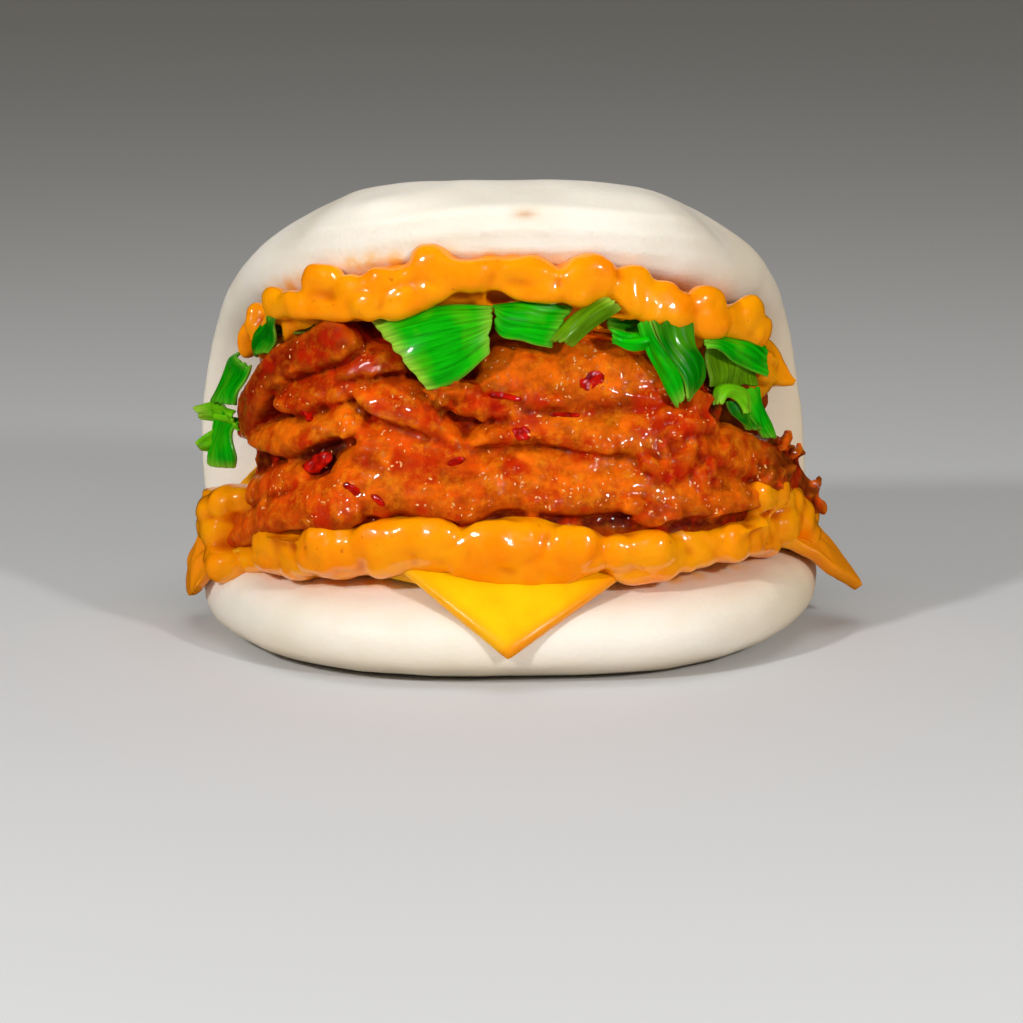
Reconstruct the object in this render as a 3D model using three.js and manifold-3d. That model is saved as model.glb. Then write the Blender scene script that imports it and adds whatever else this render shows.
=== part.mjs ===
// A filled bao: one disc of steamed dough folded over a slice of cheese, a heap of saucy meat strips,
// spring onion and two runs of cheese sauce. Millimetres, +Z up, the mouth faces -Y, and the origin is
// on the surface that the bun stands on.
import * as THREE from 'three';
import { mergeVertices } from 'three/addons/utils/BufferGeometryUtils.js';
import Module from 'manifold-3d';

const wasm = await Module();
wasm.setup();

const { smoothstep, lerp, clamp, degToRad } = THREE.MathUtils;
const clearance = 0.3; // free gap between pieces that touch

// The dough is a rounded disc, measured flat, that is laid along a line of three arcs.
const dough = {
  halfWidth: 55,
  lowerRun: 44,
  foldRun: 71,
  upperRun: 52,
  foldTurn: degToRad(140),
  lipTurn: degToRad(42),
  lowerThick: 18.6,
  foldThick: 13,
  thinOver: 26, // run in which the lower half thins into the fold
  thickenOver: 28, // and the fold thickens into the upper half
  upperThick: 17.6,
  restHeight: 7.4, // of the lower half's middle layer: under half its thickness, so its base has sagged flat
  frontY: -37,
  outlinePower: 2.8,
  edgePower: 3.6, // of the lips' rounding
  basePower: 6, // the base has sagged flat and has a tighter edge
  rimCrowding: 1.5, // draws the mesh rows together near the rim
  domeDrop: 14,
  domePower: 3.2,
  lowerSpread: 2, // the lower half is pressed wider than the fold
  upperNarrow: 5.4, // and the upper half drawn in
  upperShift: -0.8,
  rightLift: 2, // the lower half's right side curls up
};
const doughLength = dough.lowerRun + dough.foldRun + dough.upperRun;
const foldMiddle = dough.lowerRun + dough.foldRun / 2;
const doughArcs = [
  { run: dough.lowerRun, turn: 0 },
  { run: dough.foldRun, turn: dough.foldTurn },
  { run: dough.upperRun, turn: dough.lipTurn },
];

// The slice lies cornerwise on the lower half and on up the fold; three of its corners hang out.
const slice = {
  side: 91,
  thick: 2.6,
  centreX: -0.8,
  centreS: 60,
  turn: degToRad(133),
  sag: 14, // how far the side corners sag towards the mouth
  rightFrom: 25, // between these its right corner stops following the dough down
  rightTo: 40,
  rightTurn: degToRad(50),
  walkStep: 0.25,
};

// The heap of meat fills the pocket; its front is a wall that leans back and wraps round to the sides.
const heap = {
  lowZ: 22,
  highZ: 66,
  lowY: -27,
  highY: -19,
  wrapHalf: 50.5,
  wrapDepth: 60,
  wrapPower: 2.8,
  wrapLimit: 0.985, // past this share of wrapHalf the front stays level with the sides
  coreHalf: 46.5,
  coreFrom: 22, // along the dough, in from its lip
  coreRun: 45,
  corePower: 4.6,
};

// Meat strips that show, as x and z along the heap's front, with height, depth and how far each stands out.
const strips = [
  { at: [[-46, 33], [-45.2, 44.7], [-39, 53], [-32.5, 56], [-28, 53.5]], high: 6.6, deep: 11, out: 0.5 },
  { at: [[-40, 44.9], [-33.4, 48.2], [-26.7, 51], [-19, 51.6]], high: 4, deep: 9, out: -1.5 },
  { at: [[-46.4, 36], [-36.7, 40.5], [-30.5, 43], [-26, 43.4]], high: 4.6, deep: 9, out: -0.5 },
  { at: [[-32, 38.5], [-25, 43.5], [-16, 46], [-6.5, 44]], high: 11, deep: 9, out: -1 },
  { at: [[-8, 48.4], [0, 51.4], [13.4, 51.6], [27, 48.4], [31, 45]], high: 9.4, deep: 10, out: -0.5 },
  { at: [[-9, 38], [0, 42], [13.3, 43.4], [27, 41.4], [42.5, 35.6], [52, 30]], high: 6, deep: 11, out: 1 },
  { at: [[-31, 33.5], [-12, 33.5], [6.4, 34], [20, 34], [30, 30]], high: 10.5, deep: 12, out: 1 },
  { at: [[-49, 19], [-44.5, 23.6], [-36.2, 29.4], [-29, 33.4], [-17, 36.5]], high: 4.6, deep: 8, out: 2.4 },
  { at: [[20, 29.2], [31, 30.2], [44, 24.8]], high: 6.6, deep: 9, out: 2 },
  { at: [[42, 36.4], [48, 29.6], [50.5, 22.5]], high: 7, deep: 10, out: 1 },
  { at: [[-16.5, 50], [-13, 48.4], [-10, 45.6]], high: 4.4, deep: 7, out: 2 },
  { at: [[-47, 29.6], [-42, 29.4], [-35.5, 27.6]], high: 5.4, deep: 9, out: -1 },
  { at: [[-44, 27], [-30, 27.6], [0, 28.2], [30, 27], [45, 25.6]], high: 8, deep: 9, out: -3.5 },
  { at: [[-36, 57.5], [-14, 60], [14, 59], [36, 51.5], [46, 43]], high: 8, deep: 9, out: -4.5 },
];

// Chilli flakes on the strips: x, z and length.
const flake = { high: 1.8, deep: 5, out: 2.4, sides: 4, rows: 2, endPower: 3 };
const chilli = [[-33.6, 34.6, 5], [11.7, 49.5, 3.4], [0.6, 41.4, 3], [27, 41, 3.2], [20, 34.4, 3.4], [33.4, 32.4, 3.6], [22.6, 27.8, 3], [-3.5, 47.7, 3]];

// Strips that only show at the open sides of the pocket.
const sideStrips = { perSide: 4, reach: 41, length: 14, high: 9, deep: 9, lowest: 28, highest: 52, sides: 6, rows: 4, seed: 5 };

// Cheese sauce squeezed out along both lips: x and z of each run, and the notches between its folds.
const lowerBead = {
  at: [[-54.5, 26.5], [-52.5, 22.5], [-46.5, 20], [-37, 20], [-20.5, 22.4], [-4, 22.2], [13, 21.6], [30.6, 21.8], [42, 22.6], [48.5, 25], [51.5, 27.5]],
  notches: [-46, -37, -20, -8, 17, 33, 45],
  high: 12,
  deep: 12,
  out: 2.2,
};
const upperBead = {
  at: [[-46, 52], [-39, 58.6], [-30, 62.2], [-17, 65.4], [-3, 64.6], [7, 63.6], [17, 61], [27, 58.4], [36, 54], [43, 49.4], [47, 43.5]],
  notches: [-36, -29, -20, -9, 8, 22, 31, 39],
  high: 11.9,
  deep: 12,
  out: 3,
};
const notchDepth = 0.2;
const notchWidth = 1.7;
const sauceLayer = { thick: 2.4, gauge: 0.8 }; // that runs in under the filling from each bead

// Spring onion pieces: x and z along the middle, width at both ends, bow across and how far each stands out.
const scallions = [
  { at: [[-14.3, 62.5], [-14, 56], [-12.7, 48.4]], wide: [20, 8], bow: 3, out: 4 },
  { at: [[-5, 59.4], [1, 58.6], [7, 57.6]], wide: [7.6, 6.4], bow: 1.2, out: 2 },
  { at: [[4.6, 54.8], [11, 58.6], [17, 62.6]], wide: [3.4, 5], bow: 1.8, out: 4.6 },
  { at: [[14.6, 57.4], [22, 57], [29.5, 54]], wide: [5.4, 5], bow: 1.4, out: 0.6 },
  { at: [[25, 60], [27, 52.6], [27.8, 44.6]], wide: [10.6, 3.6], bow: 2, out: 4.4 },
  { at: [[31, 54], [37, 50.8], [43.6, 45.6]], wide: [5, 6], bow: 1.6, out: 1.4 },
  { at: [[33, 45.4], [36.6, 46.8], [40, 43], [43.4, 35.6]], wide: [4, 3.4], bow: 1.4, out: 2 },
  { at: [[-43, 57], [-41.4, 53.6], [-39.6, 50.4]], wide: [4.6, 4], bow: 1, out: 1.6 },
  { at: [[-47, 47.6], [-45.6, 44], [-44.6, 40]], wide: [7, 5], bow: 1.4, out: 2.6 },
  { at: [[-44.6, 36], [-48, 36.6], [-52, 36]], wide: [7, 9], bow: 1.2, out: 3 },
];
const scallionThick = 1.3;
const scallionWave = 0.5;

// Moves every vertex of a closed three.js geometry, with its shared vertices merged first.
function shaped(geometry, place) {
  geometry.deleteAttribute('normal');
  geometry.deleteAttribute('uv');
  const merged = mergeVertices(geometry, 1e-5);
  const position = merged.attributes.position;
  const point = new THREE.Vector3();
  for (let i = 0; i < position.count; i++) {
    place(point.fromBufferAttribute(position, i));
    position.setXYZ(i, point.x, point.y, point.z);
  }
  return merged;
}

// A thin sheet from a plane's grid: both faces split alike, joined by a wall round the edge.
function sheet(plane, place) {
  const flat = shaped(plane, () => {});
  const grid = flat.attributes.position;
  const cells = Array.from(flat.index.array);
  const count = grid.count;
  const points = new Float32Array(count * 6);
  const point = new THREE.Vector3();
  [1, -1].forEach((side, layer) => {
    for (let i = 0; i < count; i++) {
      place(point.fromBufferAttribute(grid, i), side);
      point.toArray(points, (layer * count + i) * 3);
    }
  });
  const triangles = [];
  const edges = new Map();
  for (let t = 0; t < cells.length; t += 3) {
    const corners = cells.slice(t, t + 3);
    triangles.push(...corners, ...corners.map((i) => i + count).reverse());
    corners.forEach((from, i) => edges.set(`${from} ${corners[(i + 1) % 3]}`, [from, corners[(i + 1) % 3]]));
  }
  for (const [from, to] of edges.values()) {
    if (!edges.has(`${to} ${from}`)) triangles.push(to, from, from + count, to, from + count, to + count);
  }
  const closed = new THREE.BufferGeometry();
  closed.setAttribute('position', new THREE.BufferAttribute(points, 3));
  closed.setIndex(triangles);
  return closed;
}

function solidFrom(geometry) {
  return new wasm.Manifold(
    new wasm.Mesh({
      numProp: 3,
      vertProperties: new Float32Array(geometry.attributes.position.array),
      triVerts: new Uint32Array(geometry.index.array),
    }),
  );
}

function geometryFrom(solid) {
  const mesh = solid.getMesh();
  const geometry = new THREE.BufferGeometry();
  geometry.setAttribute('position', new THREE.BufferAttribute(mesh.vertProperties, 3));
  geometry.setIndex(new THREE.BufferAttribute(mesh.triVerts, 1));
  return geometry;
}

const joined = (solids) => solids.reduce((sum, solid) => sum.add(solid));
const cutBy = (solid, others) => others.reduce((left, other) => left.subtract(other), solid);
const largest = (solid) => solid.decompose().sort((a, b) => b.volume() - a.volume())[0];

// The dough's middle line, from the lower lip at s = 0 round the fold to the upper lip.
function midline(s) {
  let y = dough.frontY;
  let z = dough.restHeight;
  let heading = 0;
  let left = s;
  doughArcs.forEach(({ run, turn }, i) => {
    const last = i === doughArcs.length - 1;
    const step = last ? left : Math.min(left, run);
    const bend = (turn * step) / run;
    const chord = Math.abs(bend) > 1e-6 ? (2 * step * Math.sin(bend / 2)) / bend : step;
    y += chord * Math.cos(heading + bend / 2);
    z += chord * Math.sin(heading + bend / 2);
    heading += bend;
    left -= step;
  });
  return { y, z, heading };
}

// A point of the folded dough: x across, s along the middle line, n outwards from it.
function folded(x, s, n, out = new THREE.Vector3()) {
  const { y, z, heading } = midline(s);
  const across = x / dough.halfWidth;
  const lower = 1 - smoothstep(s, dough.lowerRun - 10, foldMiddle);
  const dome = dough.domeDrop * smoothstep(s, foldMiddle, doughLength) * Math.abs(across) ** dough.domePower;
  const curl = dough.rightLift * Math.max(0, across) ** 2 * lower;
  const upper = smoothstep(s, foldMiddle - 5, doughLength - 30);
  const spread = x + across * (dough.lowerSpread * lower - dough.upperNarrow * upper) + dough.upperShift * upper;
  return out.set(spread, y + n * Math.sin(heading), Math.max(0, z - n * Math.cos(heading) - dome + curl));
}

function doughThickness(s) {
  const { lowerRun, foldRun, lowerThick, foldThick, upperThick, thinOver, thickenOver } = dough;
  const foldEnd = lowerRun + foldRun;
  const intoFold = smoothstep(s, lowerRun, lowerRun + thinOver);
  const outOfFold = smoothstep(s, foldEnd - thickenOver / 2, foldEnd + thickenOver / 2);
  return lerp(lerp(lowerThick, foldThick, intoFold), upperThick, outOfFold);
}

const powerSum = (power, ...values) => values.reduce((sum, v) => sum + Math.abs(v) ** power, 0) ** (1 / power);

// 0 at the middle of the flat disc and 1 on its outline.
const discGauge = (x, s) => powerSum(dough.outlinePower, x / dough.halfWidth, (2 * s) / doughLength - 1);

// Turns the grid of a box, -1 to 1 each way, into a rounded disc; the rows draw closer near its rim.
function discPoint(p, halfX, halfS) {
  const towardsRim = (v) => Math.sign(v) * (1 - (1 - Math.abs(v)) ** dough.rimCrowding);
  const a = towardsRim(p.x);
  const b = towardsRim(p.y);
  const reach = Math.max(Math.abs(a), Math.abs(b));
  const gauge = powerSum(dough.outlinePower, a, b);
  const base = p.z < 0 ? 1 - smoothstep(b, -0.4, -0.1) : 0;
  const rounding = 1 / powerSum(lerp(dough.edgePower, dough.basePower, base), reach, p.z);
  const outward = gauge > 0 ? (reach * rounding) / gauge : 0;
  return { x: a * outward * halfX, s: doughLength / 2 + b * outward * halfS, level: p.z * rounding };
}

function makeBun(grow = 0) {
  const grid = new THREE.BoxGeometry(2, 2, 2, 18, 28, 4);
  return solidFrom(
    shaped(grid, (p) => {
      const { x, s, level } = discPoint(p, dough.halfWidth + grow, doughLength / 2 + grow);
      folded(x, s, -level * (doughThickness(s) / 2 + grow), p);
    }),
  );
}

// Where a slice laid flat at (x, s) comes to rest: it keeps to the dough's inner face and round its rim.
function draped(x, s, lift, out) {
  const middleS = doughLength / 2;
  const reach = Math.hypot(x, s - middleS);
  const rim = reach / Math.max(discGauge(x, s), 1e-6);
  const half = doughThickness(s) / 2;
  const steepest = lerp(Math.PI, slice.rightTurn, smoothstep(x, slice.rightFrom, slice.rightTo));
  const level = (g) => half * (1 - Math.min(g, 1) ** dough.edgePower) ** (1 / dough.edgePower);
  const step = slice.walkStep;
  let along = 0;
  let height = half;
  let turn = 0;
  for (let walked = 0; walked < reach; walked += step) {
    const length = Math.min(step, reach - walked);
    const next = along + step;
    const slope = next < rim ? Math.atan2(level(along / rim) - level(next / rim), step) : Math.PI / 2;
    turn = Math.max(turn, Math.min(slope, steepest));
    along += length * Math.cos(turn);
    height -= length * Math.sin(turn);
  }
  const outward = along + lift * Math.sin(turn);
  const kept = outward / Math.max(reach, 1e-6);
  return folded(x * kept, middleS + (s - middleS) * kept, -(height + lift * Math.cos(turn)), out);
}

function makeSlice(grow = 0) {
  const size = slice.side + 2 * grow;
  const plane = new THREE.PlaneGeometry(size, size, 16, 16);
  return solidFrom(
    sheet(plane, (p, side) => {
      const x = slice.centreX + p.x * Math.cos(slice.turn) - p.y * Math.sin(slice.turn);
      const flatS = slice.centreS + p.x * Math.sin(slice.turn) + p.y * Math.cos(slice.turn);
      const s = flatS - slice.sag * Math.min(1, Math.abs(x) / dough.halfWidth) ** 4;
      draped(x, s, 3 * clearance + slice.thick / 2 + side * (slice.thick / 2 + grow), p);
    }),
  );
}

// A place on the heap's front with the way out of it.
function heapFront(x, z) {
  const rise = clamp((z - heap.lowZ) / (heap.highZ - heap.lowZ), 0, 1);
  const across = Math.min(Math.abs(x) / heap.wrapHalf, heap.wrapLimit);
  const wrap = heap.wrapDepth * (1 - (1 - across ** heap.wrapPower) ** (1 / heap.wrapPower));
  return new THREE.Vector3(x, lerp(heap.lowY, heap.highY, rise) + wrap, z);
}

function heapOutward(x, z) {
  const across = heapFront(x + 1, z).sub(heapFront(x - 1, z));
  const rise = heapFront(x, z + 1).sub(heapFront(x, z - 1));
  return across.cross(rise).normalize();
}

// A run along the heap's front: its middle, the way out and the way across, at u from 0 to 1.
function runAlong(at, out) {
  const curve = new THREE.CatmullRomCurve3(at.map(([x, z]) => heapFront(x, z).addScaledVector(heapOutward(x, z), out)));
  return (u) => {
    const middle = curve.getPointAt(u);
    const along = curve.getTangentAt(u);
    const outward = heapOutward(middle.x, middle.z);
    outward.addScaledVector(along, -outward.dot(along)).normalize();
    return { middle, outward, across: new THREE.Vector3().crossVectors(outward, along) };
  };
}

// Draws a strand's size in towards both ends, down to a blunt tip.
const bluntTip = 0.3;
const roundedEnd = (u, power) => Math.max(bluntTip, (1 - Math.abs(2 * u - 1) ** power) ** (1 / power));

// A strand with an oval section and rounded ends; swell gives its size along the run.
function strand(at, { high, deep, out, sides, rows, endPower, swell }, grow = 0) {
  const run = runAlong(at, out - deep / 2);
  const tube = new THREE.CylinderGeometry(1, 1, 1, sides, rows);
  return solidFrom(
    shaped(tube, (p) => {
      const u = clamp(p.y + 0.5, 0, 1);
      const { middle, outward, across } = run(u);
      const size = roundedEnd(u, endPower) * swell(middle.x, u);
      const outwards = p.x * (deep * 0.5 * size + grow);
      const upwards = p.z * (high * 0.5 * size + grow);
      p.copy(middle).addScaledVector(outward, outwards).addScaledVector(across, upwards);
    }),
  );
}

function makeBead(bead, grow = 0) {
  const notched = (x) => bead.notches.reduce((sum, notch) => sum + Math.exp(-(((x - notch) / notchWidth) ** 2)), 0);
  const swell = (x) => 1 - notchDepth * notched(x);
  return strand(bead.at, { ...bead, sides: 8, rows: 32, endPower: 8, swell }, grow);
}

// The sauce that lies on the inner face of a half, between two depths from it.
function makeLayer(fromS, toS, near, far) {
  const grid = new THREE.BoxGeometry(2, 2, 2, 6, 6, 1);
  return solidFrom(
    shaped(grid, (p) => {
      const gauge = powerSum(heap.corePower, p.x, p.y);
      const inwards = gauge > 0 ? Math.max(Math.abs(p.x), Math.abs(p.y)) / gauge : 0;
      const x = p.x * inwards * sauceLayer.gauge * dough.halfWidth;
      const s = (fromS + toS) / 2 + (p.y * inwards * (toS - fromS)) / 2;
      folded(x, s, -(doughThickness(s) / 2 + (p.z > 0 ? far : near)), p);
    }),
  );
}

function makeCore() {
  const grid = new THREE.BoxGeometry(2, 2, 2, 8, 6, 6);
  const floor = slice.thick + sauceLayer.thick;
  const low = new THREE.Vector3();
  const high = new THREE.Vector3();
  return solidFrom(
    shaped(grid, (p) => {
      p.divideScalar(powerSum(heap.corePower, p.x, p.y, p.z));
      const x = p.x * heap.coreHalf;
      const deep = heap.coreFrom + heap.coreRun * (0.5 + 0.5 * p.y);
      folded(x, deep, -(doughThickness(deep) / 2 + floor), low);
      const back = doughLength - deep;
      folded(x, back, -(doughThickness(back) / 2 + sauceLayer.thick), high);
      p.lerpVectors(low, high, 0.5 + 0.5 * p.z);
    }),
  );
}

const ragged = (seed) => (x, u) => 1 + 0.1 * Math.sin(seed + 11 * u) + 0.07 * Math.sin(2.3 * seed + 23 * u);
const makeStrip = (strip, i) => strand(strip.at, { ...strip, sides: 6, rows: 6, endPower: 3, swell: ragged(i) });

function makeFlake([x, z, long], i) {
  const at = [[x - long / 2, z + 0.6], [x, z], [x + long / 2, z + 0.3]];
  return strand(at, { ...flake, swell: ragged(i) });
}

// One strip seen end on at an open side, level with its place in the stack.
function makeSideStrip(side, i, random) {
  const { perSide, reach, length, high, deep, lowest, highest, sides, rows } = sideStrips;
  const z = lerp(lowest, highest, (i + 0.5) / perSide) + random(-1.5, 1.5);
  const from = new THREE.Vector3(side * (reach - length), random(-8, 0), z);
  const to = new THREE.Vector3(side * (reach + random(0, 4)), random(10, 16), z - random(0, 4));
  const tube = new THREE.CylinderGeometry(1, 1, 1, sides, rows);
  const along = to.clone().sub(from).normalize();
  const across = new THREE.Vector3(along.y, -along.x, 0).normalize();
  return solidFrom(
    shaped(tube, (p) => {
      const u = p.y + 0.5;
      const size = roundedEnd(u, 4);
      const upwards = p.z * high * 0.5 * size;
      const sideways = p.x * deep * 0.5 * size;
      p.lerpVectors(from, to, u).addScaledVector(across, sideways);
      p.z += upwards;
    }),
  );
}

// A cut length of spring onion, bowed across and waved along.
function makeScallion({ at, wide, bow, out }, i, grow = 0) {
  const run = runAlong(at, out);
  const plane = new THREE.PlaneGeometry(2, 1, 4, 6);
  return solidFrom(
    sheet(plane, (p, side) => {
      const u = p.y + 0.5;
      const { middle, outward, across } = run(u);
      const half = lerp(wide[0], wide[1], u) / 2;
      const v = -p.x * (1 + grow / half);
      const stretch = Math.sign(u - 0.5) * (Math.abs(u - 0.5) === 0.5 ? grow : 0);
      const wave = scallionWave * Math.sin(i + 7 * u + 2 * v);
      const depth = bow * (0.5 - v * v) + wave + side * (scallionThick / 2 + grow);
      const along = new THREE.Vector3().crossVectors(across, outward);
      p.copy(middle).addScaledVector(across, v * half).addScaledVector(outward, depth).addScaledVector(along, stretch);
    }),
  );
}

// Draws the same numbers in every build.
function seededRandom(seed) {
  let state = seed;
  return (low, high) => {
    state = (state * 16807) % 2147483647;
    return lerp(low, high, state / 2147483647);
  };
}

const root = new THREE.Group();
root.name = 'filled_bao';
function addNode(name, solid, colour, roughness) {
  const material = new THREE.MeshStandardMaterial({ color: colour, roughness, metalness: 0 });
  const mesh = new THREE.Mesh(geometryFrom(solid), material);
  mesh.name = name;
  root.add(mesh);
}

const bunRoom = makeBun(clearance);
const sliceRoom = makeSlice(clearance);
addNode('bun', makeBun(), '#f6ecd9', 0.5);
addNode('cheese_slice', largest(cutBy(makeSlice(), [bunRoom])), '#ffc61a', 0.4);

const taken = [bunRoom, sliceRoom];
scallions.forEach((scallion, i) => {
  const solid = largest(cutBy(makeScallion(scallion, i), taken));
  addNode(`scallion_${String(i + 1).padStart(2, '0')}`, solid, '#1f9a14', 0.4);
  taken.push(makeScallion(scallion, i, clearance));
});

const lowerLayer = makeLayer(12, dough.lowerRun + 14, slice.thick + 5 * clearance, slice.thick + 5 * clearance + sauceLayer.thick);
const lowerSauce = largest(cutBy(makeBead(lowerBead).add(lowerLayer), taken));
addNode('lower_sauce', lowerSauce, '#fc9d10', 0.25);

const upperLayer = makeLayer(doughLength - 64, doughLength - 12, 2 * clearance, 2 * clearance + sauceLayer.thick);
const upperSauce = largest(cutBy(makeBead(upperBead).add(upperLayer), taken));
addNode('upper_sauce', upperSauce, '#fba412', 0.25);

const random = seededRandom(sideStrips.seed);
const sidePieces = [-1, 1].flatMap((side) => Array.from({ length: sideStrips.perSide }, (_, i) => makeSideStrip(side, i, random)));
const meat = joined([makeCore(), ...strips.map(makeStrip), ...chilli.map(makeFlake), ...sidePieces]);
const sauceRoom = [makeBead(lowerBead, clearance), makeBead(upperBead, clearance), lowerLayer, upperLayer];
addNode('meat', largest(cutBy(meat, [...taken, ...sauceRoom])), '#c8501a', 0.35);

export default root;
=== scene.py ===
# A filled bao: folded steamed dough, a cheese slice, cheese sauce, sauced meat strips and spring onion
import math

import bmesh
import bpy
import numpy as np
from mathutils import Matrix, Vector, kdtree, noise
from mathutils.bvhtree import BVHTree


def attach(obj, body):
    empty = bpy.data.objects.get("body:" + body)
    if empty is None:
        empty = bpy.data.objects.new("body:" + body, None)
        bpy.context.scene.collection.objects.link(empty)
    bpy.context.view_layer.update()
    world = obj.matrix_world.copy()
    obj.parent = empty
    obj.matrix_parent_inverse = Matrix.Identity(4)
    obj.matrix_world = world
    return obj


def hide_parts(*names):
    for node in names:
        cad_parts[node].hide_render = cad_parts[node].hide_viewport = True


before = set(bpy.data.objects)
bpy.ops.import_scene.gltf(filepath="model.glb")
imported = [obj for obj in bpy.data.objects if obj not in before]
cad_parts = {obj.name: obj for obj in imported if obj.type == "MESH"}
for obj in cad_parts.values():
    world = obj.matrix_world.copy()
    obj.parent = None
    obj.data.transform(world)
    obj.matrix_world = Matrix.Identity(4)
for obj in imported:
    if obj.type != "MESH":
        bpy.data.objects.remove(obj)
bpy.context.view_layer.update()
mm = 0.001
noise.seed_set(7)  # the offsets of noise_vector follow the clock unless they are seeded
print("frame loaded:", len(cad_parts), "nodes")


def toLinear(hexColour):  # sRGB hex to the linear colour that shaders take
    parts = [int(hexColour[i:i + 2], 16) / 255 for i in (1, 3, 5)]
    return [c / 12.92 if c <= 0.04045 else ((c + 0.055) / 1.055) ** 2.4 for c in parts] + [1.0]


def feed(tree, node, links):  # joins each source to the socket of that name or number
    for socket, source in links.items():
        tree.links.new(source, node.inputs[socket])


def addNode(tree, kind, settings, links):  # one shader node with its values and what feeds it
    node = tree.nodes.new(kind)
    for name, value in settings.items():
        if name == "stops":  # positions and colours along a ramp
            for stop, (position, colour) in zip(node.color_ramp.elements, value):
                stop.position = position
                stop.color = toLinear(colour)
        elif name in node.inputs:
            node.inputs[name].default_value = value
        else:
            setattr(node, name, value)
    feed(tree, node, links)
    return node


def newMaterial(name, shaderSettings):  # also gives the place that its patterns read
    material = bpy.data.materials.new(name)
    material.use_nodes = True
    tree = material.node_tree
    shader = tree.nodes["Principled BSDF"]
    for socket, value in shaderSettings.items():
        shader.inputs[socket].default_value = value
    place = addNode(tree, "ShaderNodeTexCoord", {}, {}).outputs["Object"]
    return material, tree, shader, place


def smoothStep(value, low, high):
    t = min(1, max(0, (value - low) / (high - low)))
    return t * t * (3 - 2 * t)


def spanStep(value, span):  # the same over a span given in mm
    return smoothStep(value, span[0] * mm, span[1] * mm)


def mixed(a, b, share):
    return a + (b - a) * share


def copyOfNode(name):  # a CAD node's mesh as a bmesh with its shared vertices merged
    bm = bmesh.new()
    bm.from_mesh(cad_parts[name].data)
    bmesh.ops.remove_doubles(bm, verts=bm.verts, dist=0.001 * mm)
    return bm


def addTo(bm, other):  # moves another bmesh's shells into this one
    mesh = bpy.data.meshes.new("shells")
    other.to_mesh(mesh)
    other.free()
    bm.from_mesh(mesh)
    bpy.data.meshes.remove(mesh)


def objectFrom(bm, name):
    mesh = bpy.data.meshes.new(name)
    bm.to_mesh(mesh)
    bm.free()
    piece = bpy.data.objects.new(name, mesh)
    bpy.context.scene.collection.objects.link(piece)
    return piece


def applied(piece, kind, settings):  # adds one modifier and keeps its result as the mesh
    modifier = piece.modifiers.new(kind, kind)
    for name, value in settings.items():
        setattr(modifier, name, value)
    result = bpy.data.meshes.new_from_object(piece.evaluated_get(bpy.context.evaluated_depsgraph_get()))
    piece.modifiers.clear()
    old = piece.data
    piece.data = result
    bpy.data.meshes.remove(old)


def dropPockets(piece, least=100):  # the remesh leaves tiny closed pockets where shells nearly touch
    bm = bmesh.new()
    bm.from_mesh(piece.data)
    waiting = set(bm.verts)
    while waiting:
        island = [waiting.pop()]
        for vert in island:  # grows while it is walked
            for edge in vert.link_edges:
                other = edge.other_vert(vert)
                if other in waiting:
                    waiting.remove(other)
                    island.append(other)
        if len(island) < least:
            bmesh.ops.delete(bm, geom=island, context="VERTS")
    bm.to_mesh(piece.data)
    bm.free()


def fused(bm, name, voxel, passes):  # overlapping shells become one skin, relaxed a little
    bmesh.ops.recalc_face_normals(bm, faces=bm.faces)
    piece = objectFrom(bm, name)
    applied(piece, "REMESH", {"mode": "VOXEL", "voxel_size": voxel * mm})
    dropPockets(piece)
    applied(piece, "SMOOTH", {"factor": 0.5, "iterations": passes})
    return piece


def moveVertices(piece, move):  # move(position, normal) gives each vertex its new place
    bm = bmesh.new()
    bm.from_mesh(piece.data)
    bm.normal_update()
    places = [move(v.co.copy(), v.normal.copy()) for v in bm.verts]
    for vert, place in zip(bm.verts, places):
        vert.co = place
    bm.to_mesh(piece.data)
    bm.free()


def setAttribute(piece, name, values):
    attribute = piece.data.attributes.new(name, "FLOAT", "POINT")
    attribute.data.foreach_set("value", np.asarray(values, np.float32))


def setColour(piece, name, colours):
    attribute = piece.data.attributes.new(name, "FLOAT_COLOR", "POINT")
    attribute.data.foreach_set("color", np.asarray(colours, np.float32).ravel())


def finishPiece(piece, material, slot, *nodes):
    piece.data.name = piece.name
    piece.data.materials.clear()
    piece.data.materials.append(material)
    piece.data.shade_smooth()
    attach(piece, "root")
    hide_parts(*nodes)
    print(piece.name, "made with", len(piece.data.polygons), "faces")


def grainAt(place, size):  # smooth noise from about -1 to 1 with bumps of that size in mm
    return noise.noise(place / (size * mm))


# Where the filling shows: a wall that leans back and wraps round to the open sides
filling = {
    "lowZ": 22, "highZ": 66,
    "lowY": -27, "highY": -19,
    "wrapHalf": 50.5, "wrapDepth": 60, "wrapPower": 2.8, "wrapLimit": 0.985,
    "turnLimit": 42,  # past this x the way out turns no further
}


def fillingFront(x, z):
    rise = min(1, max(0, (z - filling["lowZ"]) / (filling["highZ"] - filling["lowZ"])))
    across = min(abs(x) / filling["wrapHalf"], filling["wrapLimit"])
    power = filling["wrapPower"]
    wrap = filling["wrapDepth"] * (1 - (1 - across ** power) ** (1 / power))
    return Vector((x, mixed(filling["lowY"], filling["highY"], rise) + wrap, z))


def fillingOutward(x, z):
    x = max(-filling["turnLimit"], min(filling["turnLimit"], x))
    across = fillingFront(x + 1, z) - fillingFront(x - 1, z)
    rise = fillingFront(x, z + 1) - fillingFront(x, z - 1)
    return across.cross(rise).normalized()


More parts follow.
